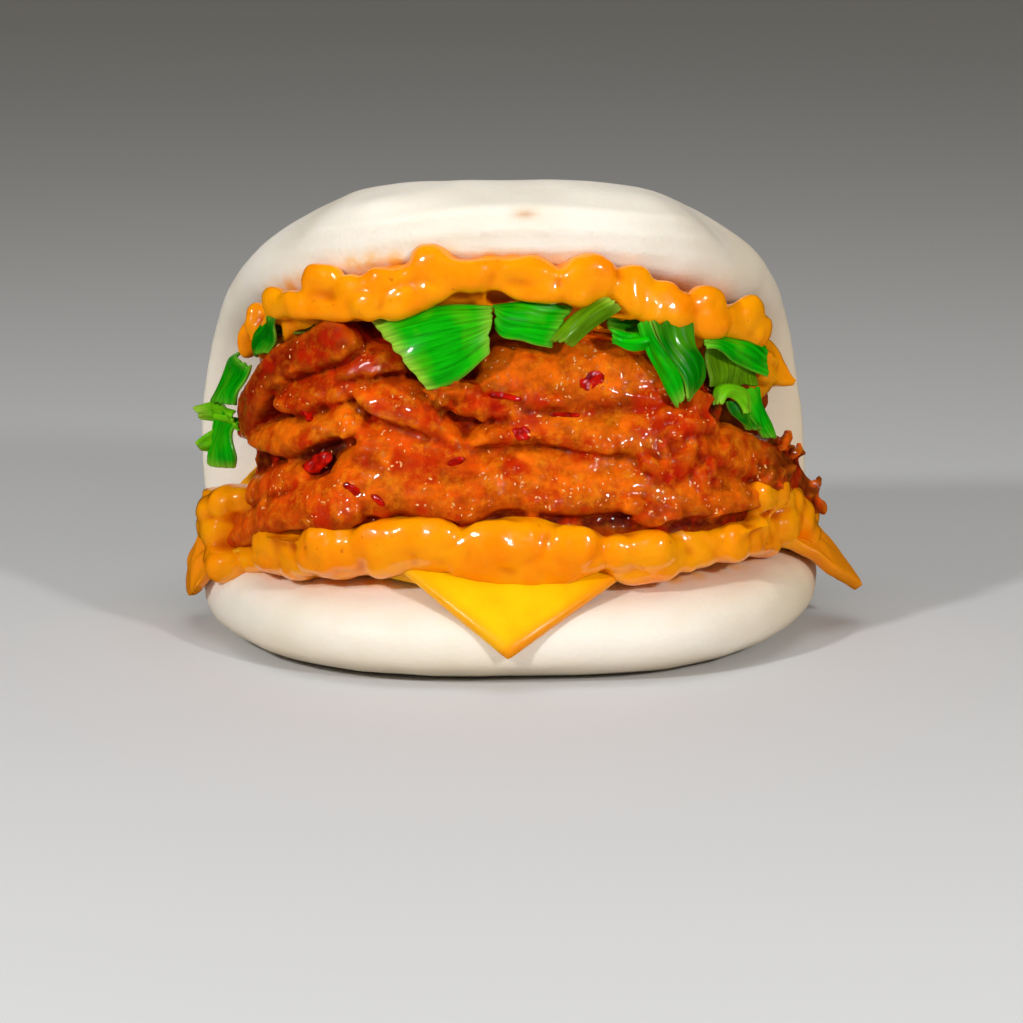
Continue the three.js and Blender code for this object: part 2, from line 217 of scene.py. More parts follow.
def splineThrough(knots):  # a smooth line through the points: place and direction at u from 0 to 1
    lengths = np.cumsum([0] + [(b - a).length for a, b in zip(knots, knots[1:])])
    slopes = []
    for i in range(len(knots)):
        before, after = max(0, i - 1), min(len(knots) - 1, i + 1)
        slopes.append((knots[after] - knots[before]) / (lengths[after] - lengths[before]))

    def placeAt(u):
        reach = u * lengths[-1]
        i = min(len(knots) - 2, max(0, int(np.searchsorted(lengths, reach)) - 1))
        span = lengths[i + 1] - lengths[i]
        t = (reach - lengths[i]) / span
        a, b = knots[i], knots[i + 1]
        bend = slopes[i] * (span * t * (1 - t) ** 2) - slopes[i + 1] * (span * t * t * (1 - t))
        step = (b - a) * (6 * t * (1 - t)) + slopes[i] * (span * (1 - t) * (1 - 3 * t))
        along = step + slopes[i + 1] * (span * t * (3 * t - 2))
        return a + (b - a) * (t * t * (3 - 2 * t)) + bend, along.normalized()

    return placeAt


def onFilling(at, out, backMost=99):  # points of x and z on the front, moved that far towards the eater
    places = [fillingFront(x, z) - Vector((0, out, 0)) for x, z in at]
    for place in places:
        place.y = min(place.y, backMost)
    return places


def betweenEdges(band):  # a band's upper edge, lower edge and way out at u from 0 to 1
    backMost = band.get("backMost", 99)
    upper = splineThrough(onFilling(band["a"], band["out"][0], backMost))
    lower = splineThrough(onFilling(band["b"], band["out"][1], backMost))
    known = {}

    def placeAt(u):
        u = round(u, 5)
        if u not in known:  # a whole ring shares one place
            top, foot = upper(u)[0], lower(u)[0]
            known[u] = top, foot, fillingOutward((top.x + foot.x) / 2, (top.z + foot.z) / 2)
        return known[u]

    return placeAt


def roundedEnd(u, power, least=0.15):  # full size that rounds off towards both ends of u
    return max(least, (1 - abs(2 * u - 1) ** power) ** (1 / power))


def boxed(angle, power):  # a rounded box section
    c, s = math.cos(angle), math.sin(angle)
    reach = (abs(c) ** power + abs(s) ** power) ** (-1 / power)
    return c * reach, s * reach


def boxier(p, power):  # draws a unit ball out towards a box
    return p / (abs(p.x) ** power + abs(p.y) ** power + abs(p.z) ** power) ** (1 / power)


def addLump(bm, place, half, power=2.4, detail=3):  # a full rounded lump, place turns it and sets its centre
    verts = bmesh.ops.create_icosphere(bm, subdivisions=detail, radius=1)["verts"]
    for vert in verts:
        p = boxier(vert.co, power)
        vert.co = place @ Vector((p.x * half[0], p.y * half[1], p.z * half[2])) * mm
    return verts


def standingAt(place, outward):  # X along the filling and Y out of it, place in mm
    side = Vector((0, 0, 1)).cross(outward).normalized()
    return Matrix.Translation(place) @ Matrix((side, outward, side.cross(outward))).transposed().to_4x4()


def standingOut(x, z, out):  # the same at a point of the filling's front, moved that far towards the eater
    return standingAt(fillingFront(x, z) - Vector((0, out, 0)), fillingOutward(x, z))


def addTube(bm, sides, rows):  # a closed tube of unit size, rings square to Z from -0.5 to 0.5
    before = len(bm.verts)
    verts = bmesh.ops.create_cone(bm, cap_ends=True, segments=sides, radius1=1, radius2=1, depth=1)["verts"]
    edges = {e for v in verts for e in v.link_edges}
    lengthwise = [e for e in edges if abs(e.verts[0].co.z - e.verts[1].co.z) > 0.5]
    bmesh.ops.subdivide_edges(bm, edges=lengthwise, cuts=rows - 1)
    bm.verts.ensure_lookup_table()
    return bm.verts[before:]


def addBlock(bm, cuts):  # a gridded cube from -1 to 1
    before = len(bm.verts)
    made = bmesh.ops.create_cube(bm, size=2)["verts"]
    edges = list({e for v in made for e in v.link_edges})
    bmesh.ops.subdivide_edges(bm, edges=edges, cuts=cuts, use_grid_fill=True)
    bm.verts.ensure_lookup_table()
    return bm.verts[before:]


# Bun
bun = {
    "levels": 2, "voxel": 0.8, "passes": 10, "flat": 0.2,  # up to this height the base stays flat
    "swell": 0.45, "swellSize": 24,  # slow unevenness of the proved dough
    "dimple": 0.13, "dimpleSize": 6,
    "fold": 0.2, "foldSpacing": 3.1, "foldSag": 0.004,  # faint folds that follow the upper lip
    "foldWander": 1.2, "foldWanderSize": 30,
    "foldRise": (66, 71), "foldBack": (-12, -2),  # the heights and depths over which they come and go
    "fuller": [(-1, 1.3, 4, 44), (1, 0.8, 8, 50)],  # flanks that stand out more: side, how far, from x, to x
    "fullerRise": (14, 32), "middleZ": 30,
    "bleedReach": 3.6, "bleedFull": 0.2,  # how far the sauce's oil has soaked out along the skin
    "hang": 2.8,  # the upper lip's front edge hangs down this far
    "lipLow": (52, 62), "lipHigh": (70, 79), "lipBack": (-4, 12),
    "droop": [(31, 13, 1.4), (-33, 9, 0.8)],  # and lower in places: x, reach and how far
    "sideStainAndShade": 0.5, "sideStainAndShadeX": (20, 58),  # an oily stain with painted shade makes the dough darker and warmer on its right
    "footShade": 0.45, "footShadeZ": (0, 8),  # painted shade makes it darker and warmer near its base
    "smears": [((1, -18, 77.4), (1.8, 9, 0.7)), ((51.5, 17, 42.3), (0.8, 9, 1.3)),
               ((47.5, 2, 35), (1, 9, 1))],  # small oily smears: centre and half sizes
    "smearShare": 0.7,
}


def steamedDoughMaterial():
    # Steamed wheat dough, a matte skin over a soft white crumb: light sinks in and warms, gloss is broad
    material, tree, shader, place = newMaterial("steamed wheat dough", {
        "IOR": 1.4, "Specular IOR Level": 0.4, "Subsurface Weight": 0.3,
        "Subsurface Radius": (1.0, 0.85, 0.6), "Subsurface Scale": 2.5 * mm,
    })
    cloud = addNode(tree, "ShaderNodeTexNoise", {"Scale": 1 / (14 * mm), "Detail": 4.0}, {"Vector": place})
    tint = addNode(tree, "ShaderNodeValToRGB", {"stops": [(0.3, "#f0e6d3"), (0.62, "#f5ede0")]},
                   {"Fac": cloud.outputs["Fac"]})
    patch = addNode(tree, "ShaderNodeTexNoise", {"Scale": 1 / (3.5 * mm), "Detail": 3.0}, {"Vector": place})
    drawn = addNode(tree, "ShaderNodeMapRange", {"From Min": 0.3, "From Max": 0.6},
                    {"Value": patch.outputs["Fac"]})
    bleed = addNode(tree, "ShaderNodeAttribute", {"attribute_name": "bleed"}, {})
    soak = addNode(tree, "ShaderNodeMath", {"operation": "MULTIPLY"},
                   {0: bleed.outputs["Fac"], 1: drawn.outputs["Result"]})
    skin = addNode(tree, "ShaderNodeMixRGB", {"Color2": toLinear("#f6bc50")},
                   {"Fac": soak.outputs[0], "Color1": tint.outputs["Color"]})
    # the first tint is painted shade near the base and on the right, where an oily stain adds to it; the
    # second is oily smears
    for name, colour in (("stainAndShade", "#dabc88"), ("smear", "#c98a34")):
        share = addNode(tree, "ShaderNodeAttribute", {"attribute_name": name}, {})
        skin = addNode(tree, "ShaderNodeMixRGB", {"Color2": toLinear(colour)},
                       {"Fac": share.outputs["Fac"], "Color1": skin.outputs["Color"]})
    sheen = addNode(tree, "ShaderNodeMapRange", {"To Min": 0.36, "To Max": 0.55},
                    {"Value": cloud.outputs["Fac"]})
    pores = addNode(tree, "ShaderNodeTexNoise", {"Scale": 1 / (0.9 * mm), "Detail": 2.0}, {"Vector": place})
    bump = addNode(tree, "ShaderNodeBump", {"Strength": 0.45, "Distance": 0.2 * mm},
                   {"Height": pores.outputs["Fac"]})
    feed(tree, shader, {"Base Color": skin.outputs["Color"], "Roughness": sheen.outputs["Result"],
                        "Normal": bump.outputs["Normal"]})
    return material


def makeBun():
    bm = copyOfNode("bun")
    bmesh.ops.join_triangles(bm, faces=bm.faces, angle_face_threshold=math.pi, angle_shape_threshold=math.pi)
    piece = objectFrom(bm, "steamed_bun")
    applied(piece, "SUBSURF", {"levels": bun["levels"], "render_levels": bun["levels"]})
    applied(piece, "REMESH", {"mode": "VOXEL", "voxel_size": bun["voxel"] * mm})
    applied(piece, "SMOOTH", {"factor": 0.5, "iterations": bun["passes"]})

    def proved(place, normal):
        if place.z < bun["flat"] * mm:
            return place
        spread = Vector((place.x, 0, place.z - bun["middleZ"] * mm)).normalized()
        for side, wide, low, high in bun["fuller"]:
            share = spanStep(side * place.x, (low, high)) * spanStep(place.z, bun["fullerRise"])
            place += spread * (share * wide * mm * max(0, normal.dot(spread)))
        lip = spanStep(place.z, bun["lipLow"]) * (1 - spanStep(place.z, bun["lipHigh"]))
        lip *= 1 - spanStep(place.y, bun["lipBack"])
        place.z -= lip * bun["hang"] * mm
        for x, reach, drop in bun["droop"]:
            place.z -= lip * drop * mm * math.exp(-((place.x / mm - x) / reach) ** 2)
        lift = bun["swell"] * grainAt(place, bun["swellSize"])
        lift += bun["dimple"] * grainAt(place, bun["dimpleSize"])
        shown = spanStep(place.z, bun["foldRise"]) * (1 - spanStep(place.y, bun["foldBack"]))
        level = place.z / mm + bun["foldSag"] * (place.x / mm) ** 2
        level += bun["foldWander"] * grainAt(place, bun["foldWanderSize"])
        lift += bun["fold"] * shown * math.sin(2 * math.pi * level / bun["foldSpacing"])
        place = place + normal * lift * mm
        place.z = max(0, place.z)
        return place

    moveVertices(piece, proved)
    sauces = [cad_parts[name].data.vertices for name in ("lower_sauce", "upper_sauce")]
    nearSauce = kdtree.KDTree(sum(len(verts) for verts in sauces))
    for verts in sauces:
        for vert in verts:
            nearSauce.insert(vert.co, 0)
    nearSauce.balance()
    reach = bun["bleedReach"] * mm
    gaps = [nearSauce.find(v.co)[2] for v in piece.data.vertices]
    setAttribute(piece, "bleed", [1 - smoothStep(gap, bun["bleedFull"] * reach, reach) for gap in gaps])
    stainAndShade, smear = [], []
    for vert in piece.data.vertices:
        place = vert.co / mm
        # painted shade darkens the base; the right side gets an oily stain with painted shade
        foot = bun["footShade"] * (1 - smoothStep(place.z, *bun["footShadeZ"]))
        stainAndShade.append(max(foot, bun["sideStainAndShade"] * smoothStep(place.x, *bun["sideStainAndShadeX"])))
        offs = [[(p - c) / half for p, c, half in zip(place, centre, size)] for centre, size in bun["smears"]]
        smear.append(bun["smearShare"] * math.exp(-min(sum(off * off for off in axes) for axes in offs)))
    setAttribute(piece, "stainAndShade", stainAndShade)
    setAttribute(piece, "smear", smear)
    finishPiece(piece, steamedDoughMaterial(), "steamed_dough", "bun")


# Cheese slice
cheeseSlice = {
    "voxel": 0.45, "passes": 28, "wave": 0.25, "waveSize": 16,
    "tip": (-2.6, -40, 6.8), "left": (-23.6, -24, 21.7), "right": (20.8, -24, 19.5),  # the corner in front
    "cuts": 15, "square": 12, "thick": 2.4,
    "bow": 2.2, "bowTo": (0, -0.978, 0.208), "bend": 0.5,  # it bows out and a little up
    "tuckedIn": -27, "tuckedHalf": 24,  # behind that corner the sheet goes no further out than this
    "leftHang": 12, "leftShare": 0.72, "leftFrom": (42, 50),  # the left corner hangs less below this height
    "shadedRims": [("right", 0.85), ("left", 0.45)], "rimShadeReach": (0.3, 2.6),  # painted shade along the cut edges, in a deeper orange
}


def cheeseSliceMaterial():
    # Processed cheese, cast and cut: an even waxy yellow with a satin face that glows where it is thin
    material, tree, shader, place = newMaterial("processed cheese slice", {
        "IOR": 1.45, "Specular IOR Level": 0.25, "Subsurface Weight": 0.3,
        "Subsurface Radius": (1.0, 0.6, 0.05), "Subsurface Scale": 2.0 * mm,
        "Coat Weight": 0.15, "Coat Roughness": 0.2,
    })
    cloud = addNode(tree, "ShaderNodeTexNoise", {"Scale": 1 / (9 * mm), "Detail": 3.0}, {"Vector": place})
    tint = addNode(tree, "ShaderNodeValToRGB", {"stops": [(0.35, "#fdbc00"), (0.65, "#ffd002")]},
                   {"Fac": cloud.outputs["Fac"]})
    side = addNode(tree, "ShaderNodeSeparateXYZ", {}, {"Vector": place})
    reach = addNode(tree, "ShaderNodeMath", {"operation": "ABSOLUTE"}, {0: side.outputs["X"]})
    # painted shade: the slice turns deeper orange towards its far left and right, which hang in shade
    flankShade = addNode(tree, "ShaderNodeMapRange", {"From Min": 38 * mm, "From Max": 52 * mm},
                   {"Value": reach.outputs[0]})
    shadedColour = addNode(tree, "ShaderNodeMixRGB", {"Color2": toLinear("#f69006")},
                     {"Fac": flankShade.outputs["Result"], "Color1": tint.outputs["Color"]})
    # painted shade along the cut edges
    rimShade = addNode(tree, "ShaderNodeAttribute", {"attribute_name": "rimShade"}, {})
    rimShaded = addNode(tree, "ShaderNodeMixRGB", {"Color2": toLinear("#f98e00")},
                     {"Fac": rimShade.outputs["Fac"], "Color1": shadedColour.outputs["Color"]})
    gloss = addNode(tree, "ShaderNodeMapRange", {"To Min": 0.28, "To Max": 0.45},
                    {"Value": cloud.outputs["Fac"]})
    grain = addNode(tree, "ShaderNodeTexNoise", {"Scale": 1 / (2.2 * mm), "Detail": 2.0}, {"Vector": place})
    bump = addNode(tree, "ShaderNodeBump", {"Strength": 0.15, "Distance": 0.15 * mm},
                   {"Height": grain.outputs["Fac"]})
    feed(tree, shader, {"Base Color": rimShaded.outputs["Color"], "Roughness": gloss.outputs["Result"],
                        "Normal": bump.outputs["Normal"]})
    return material


def addCorner(bm):  # the corner that leans on the lower lip, with straight cut edges
    tip, left, right = (Vector(cheeseSlice[name]) for name in ("tip", "left", "right"))
    outward = (right - tip).cross(left - tip).normalized()
    for vert in addBlock(bm, cheeseSlice["cuts"]):
        p = boxier(vert.co, cheeseSlice["square"])
        up = 0.5 + 0.5 * p.z
        across = left.lerp(right, 0.5 + 0.5 * p.x)
        bow = Vector(cheeseSlice["bowTo"]) * (4 * up * (1 - up) * cheeseSlice["bow"])
        bend = cheeseSlice["bend"] * math.sin(2.2 * p.x + 1) * up
        lift = bend - cheeseSlice["thick"] * (0.5 + 0.5 * p.y)
        vert.co = (tip.lerp(across, up) + bow + outward * lift) * mm


def makeSlice():
    bm = bmesh.new()
    addCorner(bm)
    sheet = copyOfNode("cheese_slice")
    for vert in sheet.verts:
        if abs(vert.co.x) < cheeseSlice["tuckedHalf"] * mm:
            vert.co.y = max(vert.co.y, cheeseSlice["tuckedIn"] * mm)
        below = max(0, cheeseSlice["leftHang"] * mm - vert.co.z)
        below *= spanStep(-vert.co.x, cheeseSlice["leftFrom"])
        vert.co.z += below * (1 - cheeseSlice["leftShare"])
    addTo(bm, sheet)
    piece = fused(bm, "cheese_slice_soft", cheeseSlice["voxel"], cheeseSlice["passes"])

    def waved(place, normal):
        return place + normal * (cheeseSlice["wave"] * mm * grainAt(place, cheeseSlice["waveSize"]))

    moveVertices(piece, waved)
    tip = Vector(cheeseSlice["tip"]).xz
    # painted shade along the cut edges, fading with distance from them
    rimShade = np.zeros(len(piece.data.vertices))
    for corner, share in cheeseSlice["shadedRims"]:
        along = (Vector(cheeseSlice[corner]).xz - tip).normalized()
        off = [abs(along.cross(v.co.xz / mm - tip)) for v in piece.data.vertices]
        rimShade = np.maximum(rimShade, [share * (1 - smoothStep(reach, *cheeseSlice["rimShadeReach"])) for reach in off])
    setAttribute(piece, "rimShade", rimShade)
    finishPiece(piece, cheeseSliceMaterial(), "cheese_slice", "cheese_slice")


# Cheese sauce: runs between an upper edge a and a lower edge b, given as x and z on the filling's front,
# with how far out they lie and the creases across them as x and depth, loose lumps as centre and half sizes,
# and blobs as x, z, how far out and half sizes
flow = {
    "voxel": 0.5, "passes": 5, "passesAfter": 2, "sides": 36, "rows": 120, "bulge": 2.2,
    "swell": 0.7, "swellSize": 7,  # slow unevenness along a run
    "creaseLean": 0.9, "creaseWide": 0.9, "creaseDeep": 2.2, "creasePinch": 0.16,
    "creaseRounds": 12, "creaseShadeDepth": 0.35,  # hollows this deep in mm get the full painted shade
    "draw": 1.6, "drawFrom": (2, 8),  # the CAD form is drawn in under the runs, less so behind them
    "sink": 0.7, "sinkFrom": (42, 46),  # and sunk on its far left
    "lumps": [(0.8, 6.5), (0.28, 2.6)], "uneven": 4, "unevenSize": 9,  # lumps, drawn out unevenly
}
lowerSauce = {
    "node": "lower_sauce", "sunkAbove": 22.5,
    "runs": [
        {"a": [(-53, 16), (-46, 20.2), (-43, 23.5), (-38.5, 23.7), (-37, 23), (-35, 25.6), (-31, 26.8),
               (-28, 25.9), (-25.5, 27), (-22, 27.8), (-17, 28.6), (-13, 28), (-9.6, 26.4), (-6, 27.4)],
         "b": [(-52.7, 11.2), (-48, 11), (-45, 13.2), (-39, 14.5), (-36.4, 15.4), (-32.3, 15.8),
               (-27.6, 17), (-23.6, 17.4), (-19.6, 18.2), (-14.3, 18.4), (-7, 17.5)],
         "out": (5.4, 5.2), "deep": 12, "ends": 6, "box": 3,
         "creases": [(-46.3, 0.5), (-37.2, 0.6), (-27.8, 0.5), (-18.5, 0.3)]},
        {"a": [(-11, 27), (-9.6, 26.6), (-6.3, 27.8), (-2.6, 28), (1.7, 28.1), (4, 27.2), (9.7, 26.5),
               (12.6, 26.1), (14, 25.4)],
         "b": [(-14, 18.6), (-7, 17), (-1.2, 14.9), (5.4, 15.6), (11.9, 17), (14, 17.2)],
         "out": (4.8, 5.6), "deep": 12, "ends": 9, "box": 3, "creases": [(3.2, 0.15)]},
        {"a": [(12, 25), (15, 25), (19, 25.5), (25, 24.4), (28.3, 25.4), (33, 24.6), (37.8, 24.2),
               (43, 25), (47, 24.4)],
         "b": [(12, 17.2), (14.8, 16.4), (18.5, 15.2), (24.5, 15.6), (29.8, 16.4), (34.5, 16.9),
               (39.6, 16.7), (45, 15.6), (50, 13.5)],
         "out": (3.8, 4.2), "deep": 11, "ends": 6, "box": 3,
         "creases": [(26, 0.4), (29.2, 0.35), (32.4, 0.45), (35.6, 0.45), (39.3, 0.4)]},
    ],
    "loose": [
        ((-52.8, 7.5, 21.8), (2.6, 4, 2.6)), ((-50, 6, 23.4), (3.2, 5, 3)),
        ((-46.8, 4.5, 24), (2.8, 4, 2.8)), ((-54.2, 9, 18.2), (1.6, 3, 2.4)),
        ((-51.2, 6, 18.4), (3.8, 5, 3.4)), ((-50, 2, 13.6), (4.4, 6, 3.4)),
        ((45.4, 0, 25), (3.6, 6, 2.8)), ((48.4, 4, 23), (3.2, 6, 3.6)), ((50.5, 6, 19.6), (3.4, 6, 4)),
        ((45.6, -1, 20.4), (4.6, 6, 3.8)), ((52, 7, 16.8), (2.4, 5, 3)), ((53.4, 9, 19.6), (1.6, 3, 2)),
    ],
    "blobs": [
        (-49.2, 12.6, 3.6, 3.4, 3.2), (-42.4, 19, 3, 4.2, 4.2), (-33.8, 21, 3.4, 4.4, 4.4),
        (-24.6, 22.8, 3, 4, 3.8), (-19, 24.4, 3, 3, 3), (-13.8, 24.4, 2.8, 3.6, 3.2),
        (-3, 23.4, 3.4, 6.6, 4), (8.6, 23, 3.4, 4.4, 3.8), (21, 21.4, 2.4, 5, 3.4),
        (16.2, 21.4, 2.6, 3, 3.4), (42.4, 27.8, 3, 3.6, 3), (45, 27, 4, 3, 3.2), (36.6, 21, 2.4, 3, 3.4),
        (40.6, 21, 2.4, 3, 3.4), (40, 25.4, -1, 2.2, 2.2),
    ],
}
upperSauce = {
    "node": "upper_sauce", "sunkAbove": 99,
    "runs": [
        {"a": [(-46, 51), (-45.8, 54), (-44, 57.8), (-42.7, 60.4), (-41, 62.4), (-39, 63), (-35.5, 64.5),
               (-29.5, 65.6), (-26.7, 67), (-22.8, 69.2), (-19, 69.8), (-16.4, 71.5), (-14, 72.2),
               (-12, 71), (-8.8, 70.4), (-3.6, 70.6), (0, 70.4), (6.5, 68.9), (10, 69.9), (13.5, 69.4),
               (15.5, 67.8), (20.5, 67.7), (23.4, 65.7), (28.4, 62.8), (30.7, 63.8), (32.8, 63),
               (35.2, 60.8), (37.5, 61), (41.6, 60), (44.3, 57.5)],
         "b": [(-45.8, 49), (-43.4, 55.6), (-42, 58), (-39.7, 59), (-34, 59.2), (-27.4, 59.8),
               (-21, 60.2), (-15.3, 62), (-11.4, 64), (-7.5, 65), (-3.6, 64.4), (0, 63), (7.8, 62.7),
               (12.8, 63.2), (15.5, 62.8), (17.7, 61.2), (21.3, 59.5), (27, 57.9), (30, 56.4), (34.4, 56),
               (37.4, 55), (40, 53.2), (43.4, 52.6)],
         "out": (4.4, 4.6), "deep": 11, "ends": 8, "box": 6,
         "creases": [(-36, 0.25), (-24.5, 0.25), (-18, 0.25), (-5, 0.15), (6.8, 0.4), (15.2, 0.5),
                     (23.2, 0.35), (28.2, 0.65), (35.3, 0.65)]},
        {"a": [(43.4, 54), (46.5, 52.4), (47.5, 49.4), (50.4, 44.4)],
         "b": [(43, 50), (43.4, 46.4), (46, 44.6), (49.8, 43.6)],
         "out": (2.6, 2.6), "backMost": 2, "deep": 4, "ends": 5, "box": 3, "creases": []},
    ],
    "loose": [],
    "blobs": [
        (-32.7, 65.8, 2.2, 4.2, 3), (-28.2, 64, 2.4, 3.4, 2.8), (-25.4, 61.9, 3, 3, 2.6),
        (-22, 66, 2.6, 3.8, 3), (-19.9, 64, 2.8, 3, 2.4), (-14.4, 69.6, 1.6, 4, 2.8),
        (-9.9, 67.4, 2.4, 4.4, 3.2), (-4.9, 67, 2.2, 3, 3), (1.7, 67.6, 2.4, 4.6, 3),
        (11.7, 66.8, 3.2, 5, 4), (10, 64.2, 2.8, 3, 2.4), (19, 65.4, 2.4, 3.8, 3.4),
        (23.6, 62.9, 2.6, 3.8, 3.4), (26.5, 60.7, 2.8, 3.4, 3.4), (22.3, 60.1, 2.4, 2.6, 1.8),
        (31.8, 60.6, 2.8, 4, 3.8), (32.3, 58.1, 2.6, 3.4, 2.8), (39.6, 58.4, 2.6, 3.8, 3.4),
        (41, 55.6, 2.6, 3.4, 3), (-40.9, 60.8, 1.4, 3, 2.6), (-45.8, 52.6, 0.4, 1.3, 3.4),
        (-44.4, 56.8, 0.6, 1.8, 2.8),
    ],
}


def cheeseSauceMaterial():
    # Warm cheese sauce, poured and set: smooth opaque orange with a wet film, small sharp highlights
    material, tree, shader, place = newMaterial("poured cheese sauce", {
        "IOR": 1.45, "Specular IOR Level": 0.15, "Subsurface Weight": 0.25,
        "Subsurface Radius": (1.0, 0.42, 0.02), "Subsurface Scale": 2.2 * mm,
        "Coat Weight": 0.9, "Coat Roughness": 0.06, "Coat IOR": 1.45,
    })
    cloud = addNode(tree, "ShaderNodeTexNoise", {"Scale": 1 / (8 * mm), "Detail": 3.0}, {"Vector": place})
    tint = addNode(tree, "ShaderNodeValToRGB", {"stops": [(0.32, "#ff8a00"), (0.62, "#ff9f00")]},
                   {"Fac": cloud.outputs["Fac"]})
    specks = addNode(tree, "ShaderNodeTexNoise", {"Scale": 1 / (1.6 * mm), "Detail": 1.0}, {"Vector": place})
    spice = addNode(tree, "ShaderNodeMapRange", {"From Min": 0.72, "From Max": 0.8, "To Max": 0.55},
                    {"Value": specks.outputs["Fac"]})
    flecked = addNode(tree, "ShaderNodeMixRGB", {"Color2": toLinear("#c04a08")},
                      {"Fac": spice.outputs["Result"], "Color1": tint.outputs["Color"]})
    # painted shade: the hollows between the lumps are darker orange
    creaseShade = addNode(tree, "ShaderNodeAttribute", {"attribute_name": "creaseShade"}, {})
    shadedColour = addNode(tree, "ShaderNodeMixRGB", {"Color2": toLinear("#d05c00")},
                     {"Fac": creaseShade.outputs["Fac"], "Color1": flecked.outputs["Color"]})
    gloss = addNode(tree, "ShaderNodeMapRange", {"To Min": 0.2, "To Max": 0.4},
                    {"Value": cloud.outputs["Fac"]})
    ripple = addNode(tree, "ShaderNodeTexNoise", {"Scale": 1 / (3 * mm), "Detail": 2.0}, {"Vector": place})
    bump = addNode(tree, "ShaderNodeBump", {"Strength": 0.45, "Distance": 0.5 * mm},
                   {"Height": ripple.outputs["Fac"]})
    feed(tree, shader, {"Base Color": shadedColour.outputs["Color"], "Roughness": gloss.outputs["Result"],
                        "Normal": bump.outputs["Normal"], "Coat Normal": bump.outputs["Normal"]})
    return material


def addRun(bm, run):
    placeAt = betweenEdges(run)
    for vert in addTube(bm, flow["sides"], flow["rows"]):
        u = min(1, max(0, vert.co.z + 0.5))
        top, foot, outward = placeAt(u)
        depth, rise = boxed(math.atan2(vert.co.y, vert.co.x), run["box"])
        middle = (top + foot) / 2
        x = middle.x + flow["creaseLean"] * rise
        cut = sum(deep * math.exp(-abs(x - at) / flow["creaseWide"]) for at, deep in run["creases"])
        size = roundedEnd(u, run["ends"])
        swell = flow["swell"] * noise.noise(Vector((middle.x / flow["swellSize"], rise, 3)))
        lift = (depth * size - 1) * run["deep"] / 2 + swell - flow["creaseDeep"] * cut
        height = rise / 2 * size * (1 - flow["creasePinch"] * cut)
        vert.co = (middle + (top - foot) * height + outward * lift) * mm


def makeSauce(sauce, name, material):
    bm = bmesh.new()
    for run in sauce["runs"]:
        addRun(bm, run)
    for centre, half in sauce["loose"]:
        addLump(bm, Matrix.Translation(centre), half)
    for x, z, out, wide, high in sauce["blobs"]:
        addLump(bm, standingOut(x, z, out), (wide, flow["bulge"], high))
    inner = copyOfNode(sauce["node"])
    inner.normal_update()
    for vert in inner.verts:
        behind = vert.co.y / mm - fillingFront(vert.co.x / mm, vert.co.z / mm).y
        vert.co -= vert.normal * mm * flow["draw"] * (1 - smoothStep(behind, *flow["drawFrom"]))
        over = max(0, vert.co.z - sauce["sunkAbove"] * mm)
        vert.co.z -= flow["sink"] * over * spanStep(-vert.co.x, flow["sinkFrom"])
    addTo(bm, inner)
    piece = fused(bm, name, flow["voxel"], flow["passes"])

    def flowed(place, normal):
        drawn = place + noise.noise_vector(place / (flow["unevenSize"] * mm)) * flow["uneven"] * mm
        return place + normal * mm * sum(high * grainAt(drawn, size) for high, size in flow["lumps"])

    moveVertices(piece, flowed)
    applied(piece, "SMOOTH", {"factor": 0.5, "iterations": flow["passesAfter"]})
    # painted shade, deepest in the hollows
    creaseShade = hollowness(piece, flow["creaseRounds"]) / flow["creaseShadeDepth"]
    setAttribute(piece, "creaseShade", np.clip(creaseShade, 0, 1))
    finishPiece(piece, material, "cheese_sauce", sauce["node"])
